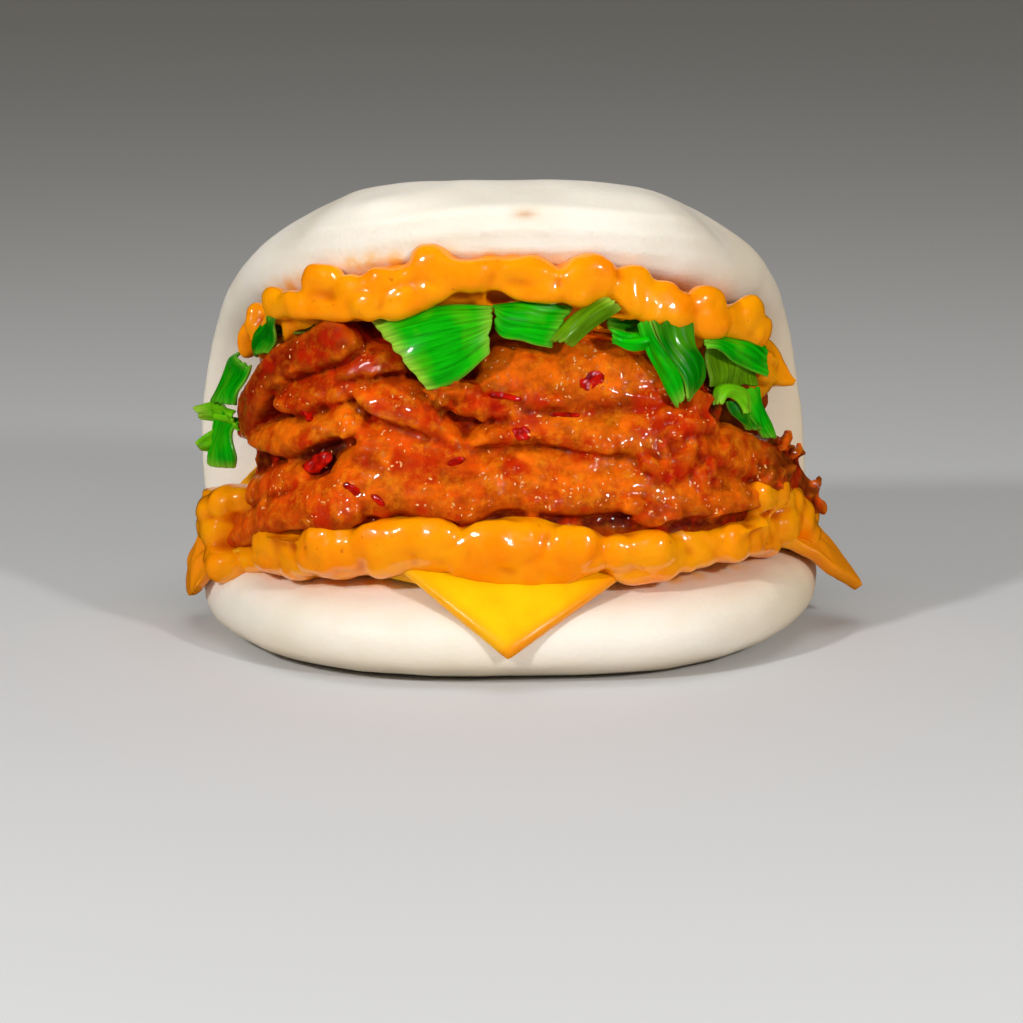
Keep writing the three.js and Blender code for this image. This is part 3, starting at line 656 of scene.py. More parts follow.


# Meat: strips between an upper edge a and a lower edge b on the filling's front, with how far out each edge
# lies, the depth behind it and the colour
# painted shade: the lower-edge, groove and darkest tones darken the filling where it lies in shade, and the
# darkest is also the tone of some fried shreds; the palest is painted light on the ridges
meatTones = {
    "tan": "#e26206", "orange": "#dc4c04", "red": "#bc2c02", "brick": "#9c1c02", "crisp": "#6e2204",
    "darkAndShade": "#4a0c02", "chilli": "#b41604", "under": "#8a1200", "groove": "#6a0a00", "paintedRidgeLight": "#ee7608",
}
meat = {
    "voxel": 0.49, "passes": 1, "sides": 40, "rows": 72, "square": 7, "ends": 9, "crown": 0.3,
    "fibre": 0.6, "fibreLong": 9, "fibreFine": 1.8,  # fibres drawn out along the strip
    "tuck": 1.5, "tuckUp": 0.8,  # a strip's upper edge goes in under the next one
    "shade": (0.15, 0.95), "shadeShare": 0.85,  # painted shade: strips are darker towards their lower edge
    "ragged": 0.4, "raggedSize": 4.5, "grain": 0.13, "grainSize": 1.2,
    "blend": 5,  # this many points near the skin share in its colour
    "grooveRounds": 14, "grooveShadeDepth": 0.8, "ridgeHigh": 0.7, "ridgeLightShare": 0.5,
    "strips": [
        {"a": [(-49, 34), (-48, 41.8), (-45.5, 48), (-42, 53.4), (-38, 55.6), (-34.6, 58), (-32, 59.6),
               (-29.4, 58.6), (-27, 57)],
         "b": [(-46.2, 36), (-44.7, 41.5), (-42.7, 46), (-39.7, 48.8), (-36.2, 50.3), (-32.8, 51.5),
               (-30.3, 52.6), (-28.3, 54.2), (-27, 55.4)],
         "out": (2.6, 3.4), "deep": 9, "tone": "brick", "shade": (-0.3, 0.6), "tuck": 0},
        {"a": [(-31, 51.5), (-29.3, 52.4), (-26.6, 54.5), (-22.3, 54.1), (-19, 52.5)],
         "b": [(-31, 49), (-28.7, 49.4), (-25.8, 49.9), (-22.3, 50.8), (-18.8, 51.2)],
         "out": (0, 1.6), "deep": 8, "tone": "red"},
        {"a": [(-42, 45), (-36.3, 48.3), (-33, 50), (-28.7, 49.6), (-27, 48.6)],
         "b": [(-41.5, 42.4), (-36.3, 42.4), (-33.8, 44), (-27.7, 46.4), (-26.5, 46.6)],
         "out": (0.4, 1.4), "deep": 8, "tone": "red"},
        {"a": [(-28.8, 49.6), (-25.7, 48.7), (-22, 49), (-18, 48.7), (-15, 46.8), (-12.6, 44.4),
               (-9.8, 41.6)],
         "b": [(-27.7, 45.2), (-23.4, 43.3), (-19.1, 41.7), (-15.9, 40.8), (-12.6, 39.4), (-9.3, 38.2)],
         "out": (1, 2.6), "deep": 9, "tone": "orange"},
        {"a": [(-47, 35.5), (-42, 39.8), (-36.3, 41.3), (-31.6, 43.5), (-29, 44.4), (-25.7, 43)],
         "b": [(-46.6, 34.8), (-43.5, 35.2), (-39.6, 35.2), (-36.7, 37.3), (-33, 39.4), (-27.9, 40.2)],
         "out": (2, 3), "deep": 7, "tone": "tan"},
        {"a": [(-27.8, 41.6), (-23.4, 42.3), (-19.2, 41.8), (-11.8, 40.8), (-7.6, 38.4)],
         "b": [(-28, 36), (-23.4, 35), (-19.3, 34), (-11.8, 33.6), (-7, 34)],
         "out": (1.6, 3.4), "deep": 9, "tone": "orange"},
        {"a": [(-7.5, 50.8), (-3.6, 55), (1, 55.2), (6.7, 55.8), (12.7, 55.8), (18.3, 54.6), (23, 53),
               (28, 51)],
         "b": [(-7, 48.2), (-3.7, 43.6), (1, 44.6), (5.1, 44.6), (10.3, 44.6), (15, 45), (20.1, 44.6),
               (28, 44.2)],
         "out": (0, 2.2), "deep": 10, "tone": "tan"},
        {"a": [(-9.8, 40), (-6.8, 42), (-3.3, 43), (1, 44), (5.2, 44.2), (10.3, 44.8), (15, 44.8),
               (20, 44.6), (25.2, 43.2), (29.4, 40), (32.6, 39.3), (36.3, 40.2), (40.5, 38.3), (45.2, 35),
               (48, 32)],
         "b": [(-8.8, 38.6), (-5.6, 39.4), (0.4, 39.7), (5.5, 39.6), (10.2, 38.4), (15.9, 37.7),
               (21.7, 36.8), (27.3, 37.5), (31.5, 36), (38, 32), (47, 27.6)],
         "out": (2, 3.8), "deep": 11, "tone": "tan"},
        {"a": [(-33.5, 34.2), (-27.6, 38.6), (-23.4, 39.6), (-19.3, 39.4), (-11.8, 38.6), (-8.5, 38.1),
               (-3.5, 38.4), (2, 38.9), (10.2, 37.9), (15.9, 37.4), (20, 36.6), (25, 35.4)],
         "b": [(-33.6, 27), (-26, 27.6), (-20.2, 28.2), (-13.2, 27.4), (-8.6, 26.6), (-3.9, 28.8),
               (3.1, 28.8), (7.8, 28.2), (13.2, 28.2), (17, 28.6), (24, 30)],
         "out": (2.6, 4.6), "deep": 11, "tone": "tan"},
        {"a": [(20, 33), (24, 33.4), (28.5, 34), (32.5, 33), (36.7, 32), (39.6, 30), (43.6, 26.4)],
         "b": [(20, 27), (24, 27.4), (28.5, 27), (32.4, 26.4), (36.7, 26), (40, 25.6), (43.8, 25.4)],
         "out": (3.4, 4.6), "deep": 8, "tone": "tan"},
        {"a": [(44.5, 36), (47.4, 35), (49.6, 32.6), (51.6, 30), (53, 27.2), (54, 24.6), (55, 22.4),
               (55.2, 20.8)],
         "b": [(43, 30), (44.8, 28.4), (46.4, 26), (48.6, 23.4), (51, 21), (53.2, 19.4)],
         "out": (7.6, 8.4), "deep": 8, "tone": "crisp"},
        {"a": [(-47, 28), (-43.5, 31.2), (-39.5, 33.7), (-36.5, 33.6)],
         "b": [(-47, 24.6), (-44.3, 26), (-40.4, 29), (-36, 31)],
         "out": (2.5, 3.5), "deep": 8, "tone": "orange"},
        {"a": [(-15.4, 47.2), (-13.4, 49.6), (-10.4, 50.6)],
         "b": [(-14.6, 45.6), (-12.4, 46.4), (-10.2, 48.6)],
         "out": (3, 3.6), "deep": 5, "tone": "crisp"},
        {"a": [(-11, 48.4), (-8.5, 49), (-6.5, 47.8)], "b": [(-10.4, 44.8), (-8.2, 44), (-6.4, 44.4)],
         "out": (2, 3), "deep": 6, "tone": "orange"},
        {"a": [(-55.4, 11.6), (-52.8, 15), (-48.4, 21.1), (-44.3, 26.6), (-39.7, 30), (-35.2, 32.2),
               (-31, 34.4), (-26.8, 36.4)],
         "b": [(-55, 10.6), (-52.2, 12.8), (-46.7, 18.6), (-42.5, 22.6), (-37.7, 24), (-31.9, 25),
               (-26.9, 26)],
         "out": (5.4, 6.2), "deep": 8, "tone": "orange"},
        {"a": [(19, 44), (26, 43.6), (33, 42)], "b": [(19, 36), (26, 35), (33, 35)],
         "out": (0.6, 1.4), "deep": 8, "tone": "red"},
        {"a": [(18, 38), (27, 38), (40, 36)], "b": [(18, 30), (27, 29), (40, 29)],
         "out": (0.8, 1.6), "deep": 8, "tone": "red"},
        {"a": [(-30, 48), (-18, 47), (-4, 46)], "b": [(-30, 38), (-18, 36), (-4, 37)],
         "out": (-1.4, -0.4), "deep": 8, "tone": "red"},
        # painted shade: the dark strips from here on are sheets of painted shade put among and behind the
        # strips
        {"a": [(27, 48.5), (31, 48.5), (35, 46.5)], "b": [(27, 42), (31, 41), (35, 40.5)],
         "out": (0, 1), "deep": 8, "tone": "darkAndShade"},
        {"a": [(-45, 31), (-30, 31), (0, 31), (30, 30), (46, 30)],
         "b": [(-46, 22), (-30, 23), (0, 24), (30, 23), (46, 21)],
         "out": (0.8, 2.4), "deep": 9, "tone": "darkAndShade"},
        {"a": [(-45, 39), (-36, 40), (-27, 41)], "b": [(-45, 29), (-36, 31), (-27, 32)],
         "out": (-1.5, -0.5), "deep": 8, "tone": "darkAndShade"},
        {"a": [(-40, 61), (-14, 64), (14, 63), (36, 56), (46, 47)],
         "b": [(-40, 52), (-14, 54), (14, 53), (36, 46), (46, 38)],
         "out": (-5, -4), "deep": 9, "tone": "darkAndShade"},
    ],
    "perSide": 4, "reach": 41, "length": 14, "sideHigh": 9, "sideDeep": 9,  # strips at the open sides
    "lowest": 28, "highest": 52, "sideCuts": 16, "sideSquare": 3, "sideEnds": 4, "seed": 5,
    "sideShift": (-1.5, 1.5), "sideMore": (0, 4), "sideDrop": (0, 4),
    "sideStart": (-8, 0), "sideEnd": (10, 16),  # the depths between which they begin and end
    "coreHalf": 44, "coreLow": 25, "coreHigh": 58, "coreBack": 20, "coreInset": 5,
    "coreCuts": 11, "coreSquare": 5,
    "lumpSquare": 2.2, "lumpDetail": 2,
    "clots": 60, "clotSize": (0.6, 1.4), "clotX": (-44, 46), "clotZ": (26, 56),  # sauce that clings in clots
    "clotLong": (0.9, 2.2), "clotHigh": 0.45,
    "crumbs": 110, "crumbSize": (0.35, 1.1), "crumbLong": (1, 2.4), "crumbHigh": 0.6,  # fried shreds
    "crumbAlong": (0.1, 1), "crumbDown": (-0.1, 1.05), "crumbOut": (-3, 0.9),  # where on the crisp strips
    "paste": [(25, 35.4, 2.4, 4.2, 4), (21.6, 28.8, 3, 4, 2.8), (26.2, 42, 2.4, 4.2, 3),
              (31.8, 33.6, 3, 2.8, 2.2), (30.5, 43.4, 1.6, 3, 3), (-8.4, 46.8, 1.4, 3.6, 2.6),
              (-3.4, 45.6, 1.2, 3, 2), (28.6, 36.8, 1.8, 3.4, 3)],  # chilli paste: x, z, out, half sizes
    "pasteLumps": 12, "pasteSize": (0.8, 1.9), "pasteLong": (1, 1.8), "pasteHigh": 0.8, "pasteSquare": 3,
    "pasteSpread": (-0.8, 0.8), "pasteOut": (-0.6, 0.9),
}


def seededDraw(seed):  # the same draws in every run
    state, factor, prime = [seed], 16807, 2147483647

    def draw(low, high):
        state[0] = state[0] * factor % prime
        return mixed(low, high, state[0] / prime)

    return draw


def addStrip(bm, strip, seed):
    placeAt = betweenEdges(strip)
    verts = addTube(bm, meat["sides"], meat["rows"])
    face, under = toLinear(meatTones[strip["tone"]]), toLinear(meatTones["under"])
    tints = []
    for vert in verts:
        u = min(1, max(0, vert.co.z + 0.5))
        top, foot, outward = placeAt(u)
        depth, rise = boxed(math.atan2(vert.co.y, vert.co.x), meat["square"])
        size = roundedEnd(u, meat["ends"])
        middle = (top + foot) / 2
        down = meat["fibreFine"] * rise * (top - foot).length / 4
        fibre = meat["fibre"] * noise.noise(Vector((middle.x / meat["fibreLong"], down, 7 * seed)))
        lift = (depth * size - 1) * strip["deep"] / 2 + fibre + meat["crown"] * (1 - rise * rise)
        tuck = strip.get("tuck", meat["tuck"]) * max(0, rise) ** 2
        vert.co = (middle + (top - foot) * (rise / 2 * size) + outward * (lift - tuck)) * mm
        vert.co.z += meat["tuckUp"] * tuck * mm
        # painted shade towards the strip's lower edge
        share = meat["shadeShare"] * smoothStep(-rise, *strip.get("shade", meat["shade"]))
        tints.append([mixed(a, b, share) for a, b in zip(face, under)])
    return verts, tints


def addSideStrip(bm, side, i, draw):
    z = mixed(meat["lowest"], meat["highest"], (i + 0.5) / meat["perSide"]) + draw(*meat["sideShift"])
    start = Vector((side * (meat["reach"] - meat["length"]), draw(*meat["sideStart"]), z))
    reach = side * (meat["reach"] + draw(*meat["sideMore"]))
    end = Vector((reach, draw(*meat["sideEnd"]), z - draw(*meat["sideDrop"])))
    along = (end - start).normalized()
    across = Vector((along.y, -along.x, 0)).normalized()
    verts = addTube(bm, meat["sideCuts"], meat["sideCuts"])
    for vert in verts:
        u = min(1, max(0, vert.co.z + 0.5))
        size = roundedEnd(u, meat["sideEnds"])
        sideways, rise = boxed(math.atan2(vert.co.y, vert.co.x), meat["sideSquare"])
        place = start.lerp(end, u) + across * (sideways * meat["sideDeep"] / 2 * size)
        vert.co = (place + Vector((0, 0, rise * meat["sideHigh"] / 2 * size))) * mm
    return verts


def addCore(bm):
    verts = addBlock(bm, meat["coreCuts"])
    for vert in verts:
        p = boxier(vert.co, meat["coreSquare"])
        x = p.x * meat["coreHalf"]
        z = mixed(meat["coreLow"], meat["coreHigh"], 0.5 + 0.5 * p.z)
        front = fillingFront(x, z).y + meat["coreInset"]
        vert.co = Vector((x, mixed(front, meat["coreBack"], 0.5 + 0.5 * p.y), z)) * mm
    return verts


def surfaceAt(skin, x, z, ahead=90):  # where the filling is met from the front, with its normal
    return skin.ray_cast(Vector((x, -ahead, z)) * mm, Vector((0, 1, 0)))[:2]


def lyingOn(place, normal, turn):  # Z along the normal, in mm
    upright = normal.to_track_quat("Z", "Y").to_matrix().to_4x4()
    return Matrix.Translation(place / mm) @ upright @ Matrix.Rotation(turn, 4, "Z")


def saucedMeatMaterial():
    # Fried meat strips turned in chilli sauce: orange to brick red fibres under an oily film with droplets
    material, tree, shader, place = newMaterial("sauced fried meat", {
        "IOR": 1.4, "Specular IOR Level": 0.04, "Subsurface Weight": 0.05,
        "Subsurface Radius": (1.0, 0.2, 0.02), "Subsurface Scale": 1.0 * mm,
        "Coat Weight": 0.4, "Coat Roughness": 0.05, "Coat IOR": 1.4,
    })
    # the tone carries painted shade at lower edges, in grooves and behind, and painted light on the ridges
    tone = addNode(tree, "ShaderNodeAttribute", {"attribute_name": "tone"}, {})
    patch = addNode(tree, "ShaderNodeTexNoise", {"Scale": 1 / (3.2 * mm), "Detail": 6.0, "Roughness": 0.65},
                    {"Vector": place})
    shade = addNode(tree, "ShaderNodeMapRange",
                    {"From Min": 0.35, "From Max": 0.68, "To Min": 0.6, "To Max": 1.25},
                    {"Value": patch.outputs["Fac"]})
    mottled = addNode(tree, "ShaderNodeVectorMath", {"operation": "SCALE"},
                      {"Vector": tone.outputs["Color"], "Scale": shade.outputs["Result"]})
    spots = addNode(tree, "ShaderNodeTexNoise", {"Scale": 1 / (5 * mm), "Detail": 2.0}, {"Vector": place})
    paste = addNode(tree, "ShaderNodeMapRange", {"From Min": 0.52, "From Max": 0.66, "To Max": 0.75},
                    {"Value": spots.outputs["Fac"]})
    pasted = addNode(tree, "ShaderNodeMixRGB", {"Color2": toLinear("#b81a00")},
                     {"Fac": paste.outputs["Result"], "Color1": mottled.outputs["Vector"]})
    fry = addNode(tree, "ShaderNodeTexNoise", {"Scale": 1 / (2.2 * mm), "Detail": 5.0, "Roughness": 0.7},
                  {"Vector": place})
    golden = addNode(tree, "ShaderNodeMapRange", {"From Min": 0.5, "From Max": 0.68, "To Max": 0.75},
                     {"Value": fry.outputs["Fac"]})
    paleness = addNode(tree, "ShaderNodeSeparateColor", {}, {"Color": tone.outputs["Color"]})
    share = addNode(tree, "ShaderNodeMath", {"operation": "MULTIPLY"},  # golden only where the strip is pale
                    {0: golden.outputs["Result"], 1: paleness.outputs["Red"]})
    fried = addNode(tree, "ShaderNodeMixRGB", {"Color2": toLinear("#f08c10")},
                    {"Fac": share.outputs[0], "Color1": pasted.outputs["Color"]})
    gloss = addNode(tree, "ShaderNodeMapRange", {"To Min": 0.35, "To Max": 0.6},
                    {"Value": patch.outputs["Fac"]})
    fine = addNode(tree, "ShaderNodeTexNoise", {"Scale": 1 / (0.6 * mm), "Detail": 2.0}, {"Vector": place})
    fibres = addNode(tree, "ShaderNodeBump", {"Strength": 0.35, "Distance": 0.2 * mm},
                     {"Height": fine.outputs["Fac"]})
    cells = addNode(tree, "ShaderNodeTexVoronoi", {"Scale": 1 / (0.95 * mm)}, {"Vector": place})
    drops = addNode(tree, "ShaderNodeMapRange",
                    {"interpolation_type": "SMOOTHSTEP", "From Max": 0.42, "To Min": 1.0, "To Max": 0.0},
                    {"Value": cells.outputs["Distance"]})
    wet = addNode(tree, "ShaderNodeMapRange", {"From Min": 0.36, "From Max": 0.5},
                  {"Value": spots.outputs["Fac"]})
    droplets = addNode(tree, "ShaderNodeMath", {"operation": "MULTIPLY"},
                       {0: drops.outputs["Result"], 1: wet.outputs["Result"]})
    film = addNode(tree, "ShaderNodeBump", {"Strength": 1.0, "Distance": 0.22 * mm},
                   {"Height": droplets.outputs[0]})
    feed(tree, shader, {"Base Color": fried.outputs["Color"], "Roughness": gloss.outputs["Result"],
                        "Normal": fibres.outputs["Normal"], "Coat Normal": film.outputs["Normal"]})
    return material


def hollowness(piece, rounds):  # how far each vertex lies in a groove: neighbours stand out past it, in mm
    mesh = piece.data
    edges = np.empty(len(mesh.edges) * 2, np.int32)
    mesh.edges.foreach_get("vertices", edges)
    a, b = edges[0::2], edges[1::2]
    co = np.empty(len(mesh.vertices) * 3, np.float32)
    mesh.vertices.foreach_get("co", co)
    co = co.reshape(-1, 3)
    normals = np.empty(len(mesh.vertices) * 3, np.float32)
    mesh.vertices.foreach_get("normal", normals)
    count = np.maximum(1, np.bincount(a, minlength=len(co)) + np.bincount(b, minlength=len(co)))
    spread = co
    for i in range(rounds):
        total = np.zeros_like(spread)
        np.add.at(total, a, spread[b])
        np.add.at(total, b, spread[a])
        spread = total / count[:, None]
    return ((spread - co) * normals.reshape(-1, 3)).sum(1) / mm


def makeMeat():
    bm = bmesh.new()
    places, tones = [], []

    def remember(verts, tints):  # the fused skin takes its colours from these
        places.extend(v.co.copy() for v in verts)
        tones.extend(tints)

    def rememberTone(verts, tone):
        remember(verts, [toLinear(meatTones[tone])] * len(verts))

    for i, strip in enumerate(meat["strips"]):
        remember(*addStrip(bm, strip, i))
    draw = seededDraw(meat["seed"])
    for side in (-1, 1):
        for i in range(meat["perSide"]):
            rememberTone(addSideStrip(bm, side, i, draw), "orange" if i % 2 else "red")
    # the core behind the strips is a dark block of painted shade
    rememberTone(addCore(bm), "darkAndShade")
    skin = BVHTree.FromBMesh(bm)
    for i in range(meat["clots"]):
        place, normal = surfaceAt(skin, draw(*meat["clotX"]), draw(*meat["clotZ"]))
        size, turn = draw(*meat["clotSize"]), draw(0, math.pi)
        long = size * draw(*meat["clotLong"])
        if place is None:
            continue
        half = (long, size, meat["clotHigh"] * size)
        lump = addLump(bm, lyingOn(place, normal, turn), half, meat["lumpSquare"], meat["lumpDetail"])
        rememberTone(lump, ("tan", "orange", "red")[i % 3])
    for strip in meat["strips"]:
        if strip["tone"] != "crisp":
            continue
        placeAt = betweenEdges(strip)
        for i in range(meat["crumbs"]):
            top, foot, outward = placeAt(draw(*meat["crumbAlong"]))
            place = top.lerp(foot, draw(*meat["crumbDown"])) + outward * draw(*meat["crumbOut"])
            size = draw(*meat["crumbSize"])
            lie = standingAt(place, outward) @ Matrix.Rotation(draw(0, math.pi), 4, "Y")
            half = (size * draw(*meat["crumbLong"]), size, meat["crumbHigh"] * size)
            lump = addLump(bm, lie, half, meat["lumpSquare"], meat["lumpDetail"])
            rememberTone(lump, ("crisp", "darkAndShade", "red", "crisp", "orange")[i % 5])
    for x, z, out, wide, high in meat["paste"]:
        lie = standingOut(x, z, out)
        for i in range(meat["pasteLumps"]):
            across, ahead = wide * draw(*meat["pasteSpread"]), draw(*meat["pasteOut"])
            offset = Matrix.Translation((across, ahead, high * draw(*meat["pasteSpread"])))
            size = draw(*meat["pasteSize"])
            turn = Matrix.Rotation(draw(0, math.pi), 4, "Y")
            half = (size * draw(*meat["pasteLong"]), size, meat["pasteHigh"] * size)
            lump = addLump(bm, lie @ offset @ turn, half, meat["pasteSquare"], meat["lumpDetail"])
            rememberTone(lump, ("chilli", "red", "chilli", "orange")[i % 4])
    near = kdtree.KDTree(len(places))
    for i, place in enumerate(places):
        near.insert(place, i)
    near.balance()
    piece = fused(bm, "sauced_meat_strips", meat["voxel"], meat["passes"])

    def roughened(place, normal):
        coarse = meat["ragged"] * grainAt(place, meat["raggedSize"])
        fine = meat["grain"] * grainAt(place, meat["grainSize"])
        return place + normal * mm * (coarse + fine)

    moveVertices(piece, roughened)
    groove = hollowness(piece, meat["grooveRounds"])
    toneOf = np.array(tones)
    found = [[n[1] for n in near.find_n(v.co, meat["blend"])] for v in piece.data.vertices]
    colours = np.array([toneOf[points].mean(0) for points in found])
    # painted shade in the grooves
    grooveShade = np.clip(groove / meat["grooveShadeDepth"], 0, 1)[:, None]
    ridgeLit = meat["ridgeLightShare"] * np.clip(-groove / meat["ridgeHigh"], 0, 1)[:, None]
    paintedRidgeLight, darkAndShade = np.array(toLinear(meatTones["paintedRidgeLight"])), np.array(toLinear(meatTones["groove"]))
    colours = colours * (1 - ridgeLit) + paintedRidgeLight * ridgeLit  # painted light: the ridges are made paler, as if lit
    setColour(piece, "tone", colours * (1 - grooveShade) + darkAndShade * grooveShade)
    finishPiece(piece, saucedMeatMaterial(), "sauced_meat", "meat")
    carrier = bmesh.new()
    carrier.from_mesh(piece.data)
    skin = BVHTree.FromBMesh(carrier)
    carrier.free()
    return skin


# Chilli flakes on the strips: x, z, length, height and tilt
flakes = {
    "at": [
        (-34, 35.1, 6.2, 2.6, -0.5), (12.1, 49.5, 4, 3.2, -0.7), (0, 41.6, 3.2, 2.2, -0.3),
        (-2.5, 47.5, 5.8, 1.1, 0.15), (-28.2, 32.2, 3, 1.4, 0.5), (-23.8, 30.5, 2.8, 1.1, 0.6),
        (-35.8, 42.6, 3.2, 1.2, 0.5), (-10.8, 36.8, 3.2, 1.2, -0.5), (7.5, 44.2, 5, 0.8, 0.05),
    ],
    "deep": 0.7, "square": 3, "sunk": 0.35, "standOut": 1,
    "jag": 0.52, "jagSize": 1.7, "fineJag": 0.4,  # torn edges, in two sizes
}


def chilliMaterial():
    # Pickled red chilli, cut: a deep translucent red with a wet skin
    material, tree, shader, place = newMaterial("cut red chilli", {
        "IOR": 1.4, "Specular IOR Level": 0.1, "Subsurface Weight": 0.2,
        "Subsurface Radius": (1.0, 0.1, 0.05), "Subsurface Scale": 1.0 * mm,
        "Coat Weight": 0.5, "Coat Roughness": 0.08, "Coat IOR": 1.4,
    })
    cloud = addNode(tree, "ShaderNodeTexNoise", {"Scale": 1 / (1.8 * mm), "Detail": 3.0}, {"Vector": place})
    tint = addNode(tree, "ShaderNodeValToRGB", {"stops": [(0.35, "#7c0300"), (0.65, "#cc1200")]},
                   {"Fac": cloud.outputs["Fac"]})
    gloss = addNode(tree, "ShaderNodeMapRange", {"To Min": 0.2, "To Max": 0.4},
                    {"Value": cloud.outputs["Fac"]})
    bump = addNode(tree, "ShaderNodeBump", {"Strength": 0.5, "Distance": 0.3 * mm},
                   {"Height": cloud.outputs["Fac"]})
    feed(tree, shader, {"Base Color": tint.outputs["Color"], "Roughness": gloss.outputs["Result"],
                        "Normal": bump.outputs["Normal"]})
    return material


def makeFlakes(skin):
    bm = bmesh.new()
    for x, z, long, high, tilt in flakes["at"]:
        place, normal = surfaceAt(skin, x, z)
        place.y = min(place.y, (fillingFront(x, z).y - flakes["standOut"]) * mm)
        outward = (normal + fillingOutward(x, z) * 2).normalized()
        lie = standingAt(place / mm - outward * flakes["sunk"], outward) @ Matrix.Rotation(-tilt, 4, "Y")
        jag = flakes["jag"] * min(1, 0.3 + high / 3)  # less on the thin ones
        for vert in addLump(bm, lie, (long / 2, flakes["deep"], high / 2), flakes["square"], 4):
            coarse = noise.noise_vector(vert.co / (flakes["jagSize"] * mm))
            fine = noise.noise_vector(vert.co / (flakes["fineJag"] * flakes["jagSize"] * mm))
            vert.co += (coarse + fine * flakes["fineJag"]) * jag * mm
    piece = objectFrom(bm, "chilli_flakes")
    finishPiece(piece, chilliMaterial(), "sauced_meat", "meat")


# Beads of oil that stand on the strips, in patches
beads = {
    "count": 1200, "size": (0.1, 0.24), "long": (1, 2.6), "high": 0.6, "patch": 7, "seed": 11,
    "x": (-46, 46), "z": (26, 57), "deepest": 1,  # none further down in the gaps than this
    "leastUp": -0.1, "patchEdge": -0.05,  # none on undersides or between the patches
}


def beadMaterial():
    # Chilli oil in small beads: amber, and pale in noise patches as painted glints
    material, tree, shader, place = newMaterial("beads of chilli oil", {
        "IOR": 1.47, "Specular IOR Level": 0.5, "Coat Weight": 1.0, "Coat Roughness": 0.03,
    })
    cloud = addNode(tree, "ShaderNodeTexNoise", {"Scale": 1 / (1.5 * mm)}, {"Vector": place})
    # painted glints: noise turns patches of the beads pale, as if catching the light
    tint = addNode(tree, "ShaderNodeValToRGB", {"stops": [(0.4, "#dc5c0a"), (0.6, "#ffc078")]},
                   {"Fac": cloud.outputs["Fac"]})
    gloss = addNode(tree, "ShaderNodeMapRange", {"To Min": 0.05, "To Max": 0.2},
                    {"Value": cloud.outputs["Fac"]})
    feed(tree, shader, {"Base Color": tint.outputs["Color"], "Roughness": gloss.outputs["Result"]})
    return material


def makeBeads(skin):
    draw = seededDraw(beads["seed"])
    bm = bmesh.new()
    for i in range(beads["count"]):
        x, z, size = draw(*beads["x"]), draw(*beads["z"]), draw(*beads["size"])
        long, turn = draw(*beads["long"]), draw(0, math.pi)
        place, normal = surfaceAt(skin, x, z)
        if place is None or normal.z < beads["leastUp"]:
            continue
        if grainAt(place, beads["patch"]) < beads["patchEdge"]:
            continue
        if place.y > (fillingFront(x, z).y + beads["deepest"]) * mm:
            continue
        addLump(bm, lyingOn(place, normal, turn), (size * long, size, beads["high"] * size), 2, 1)
    piece = objectFrom(bm, "oil_beads")
    finishPiece(piece, beadMaterial(), "sauced_meat", "meat")


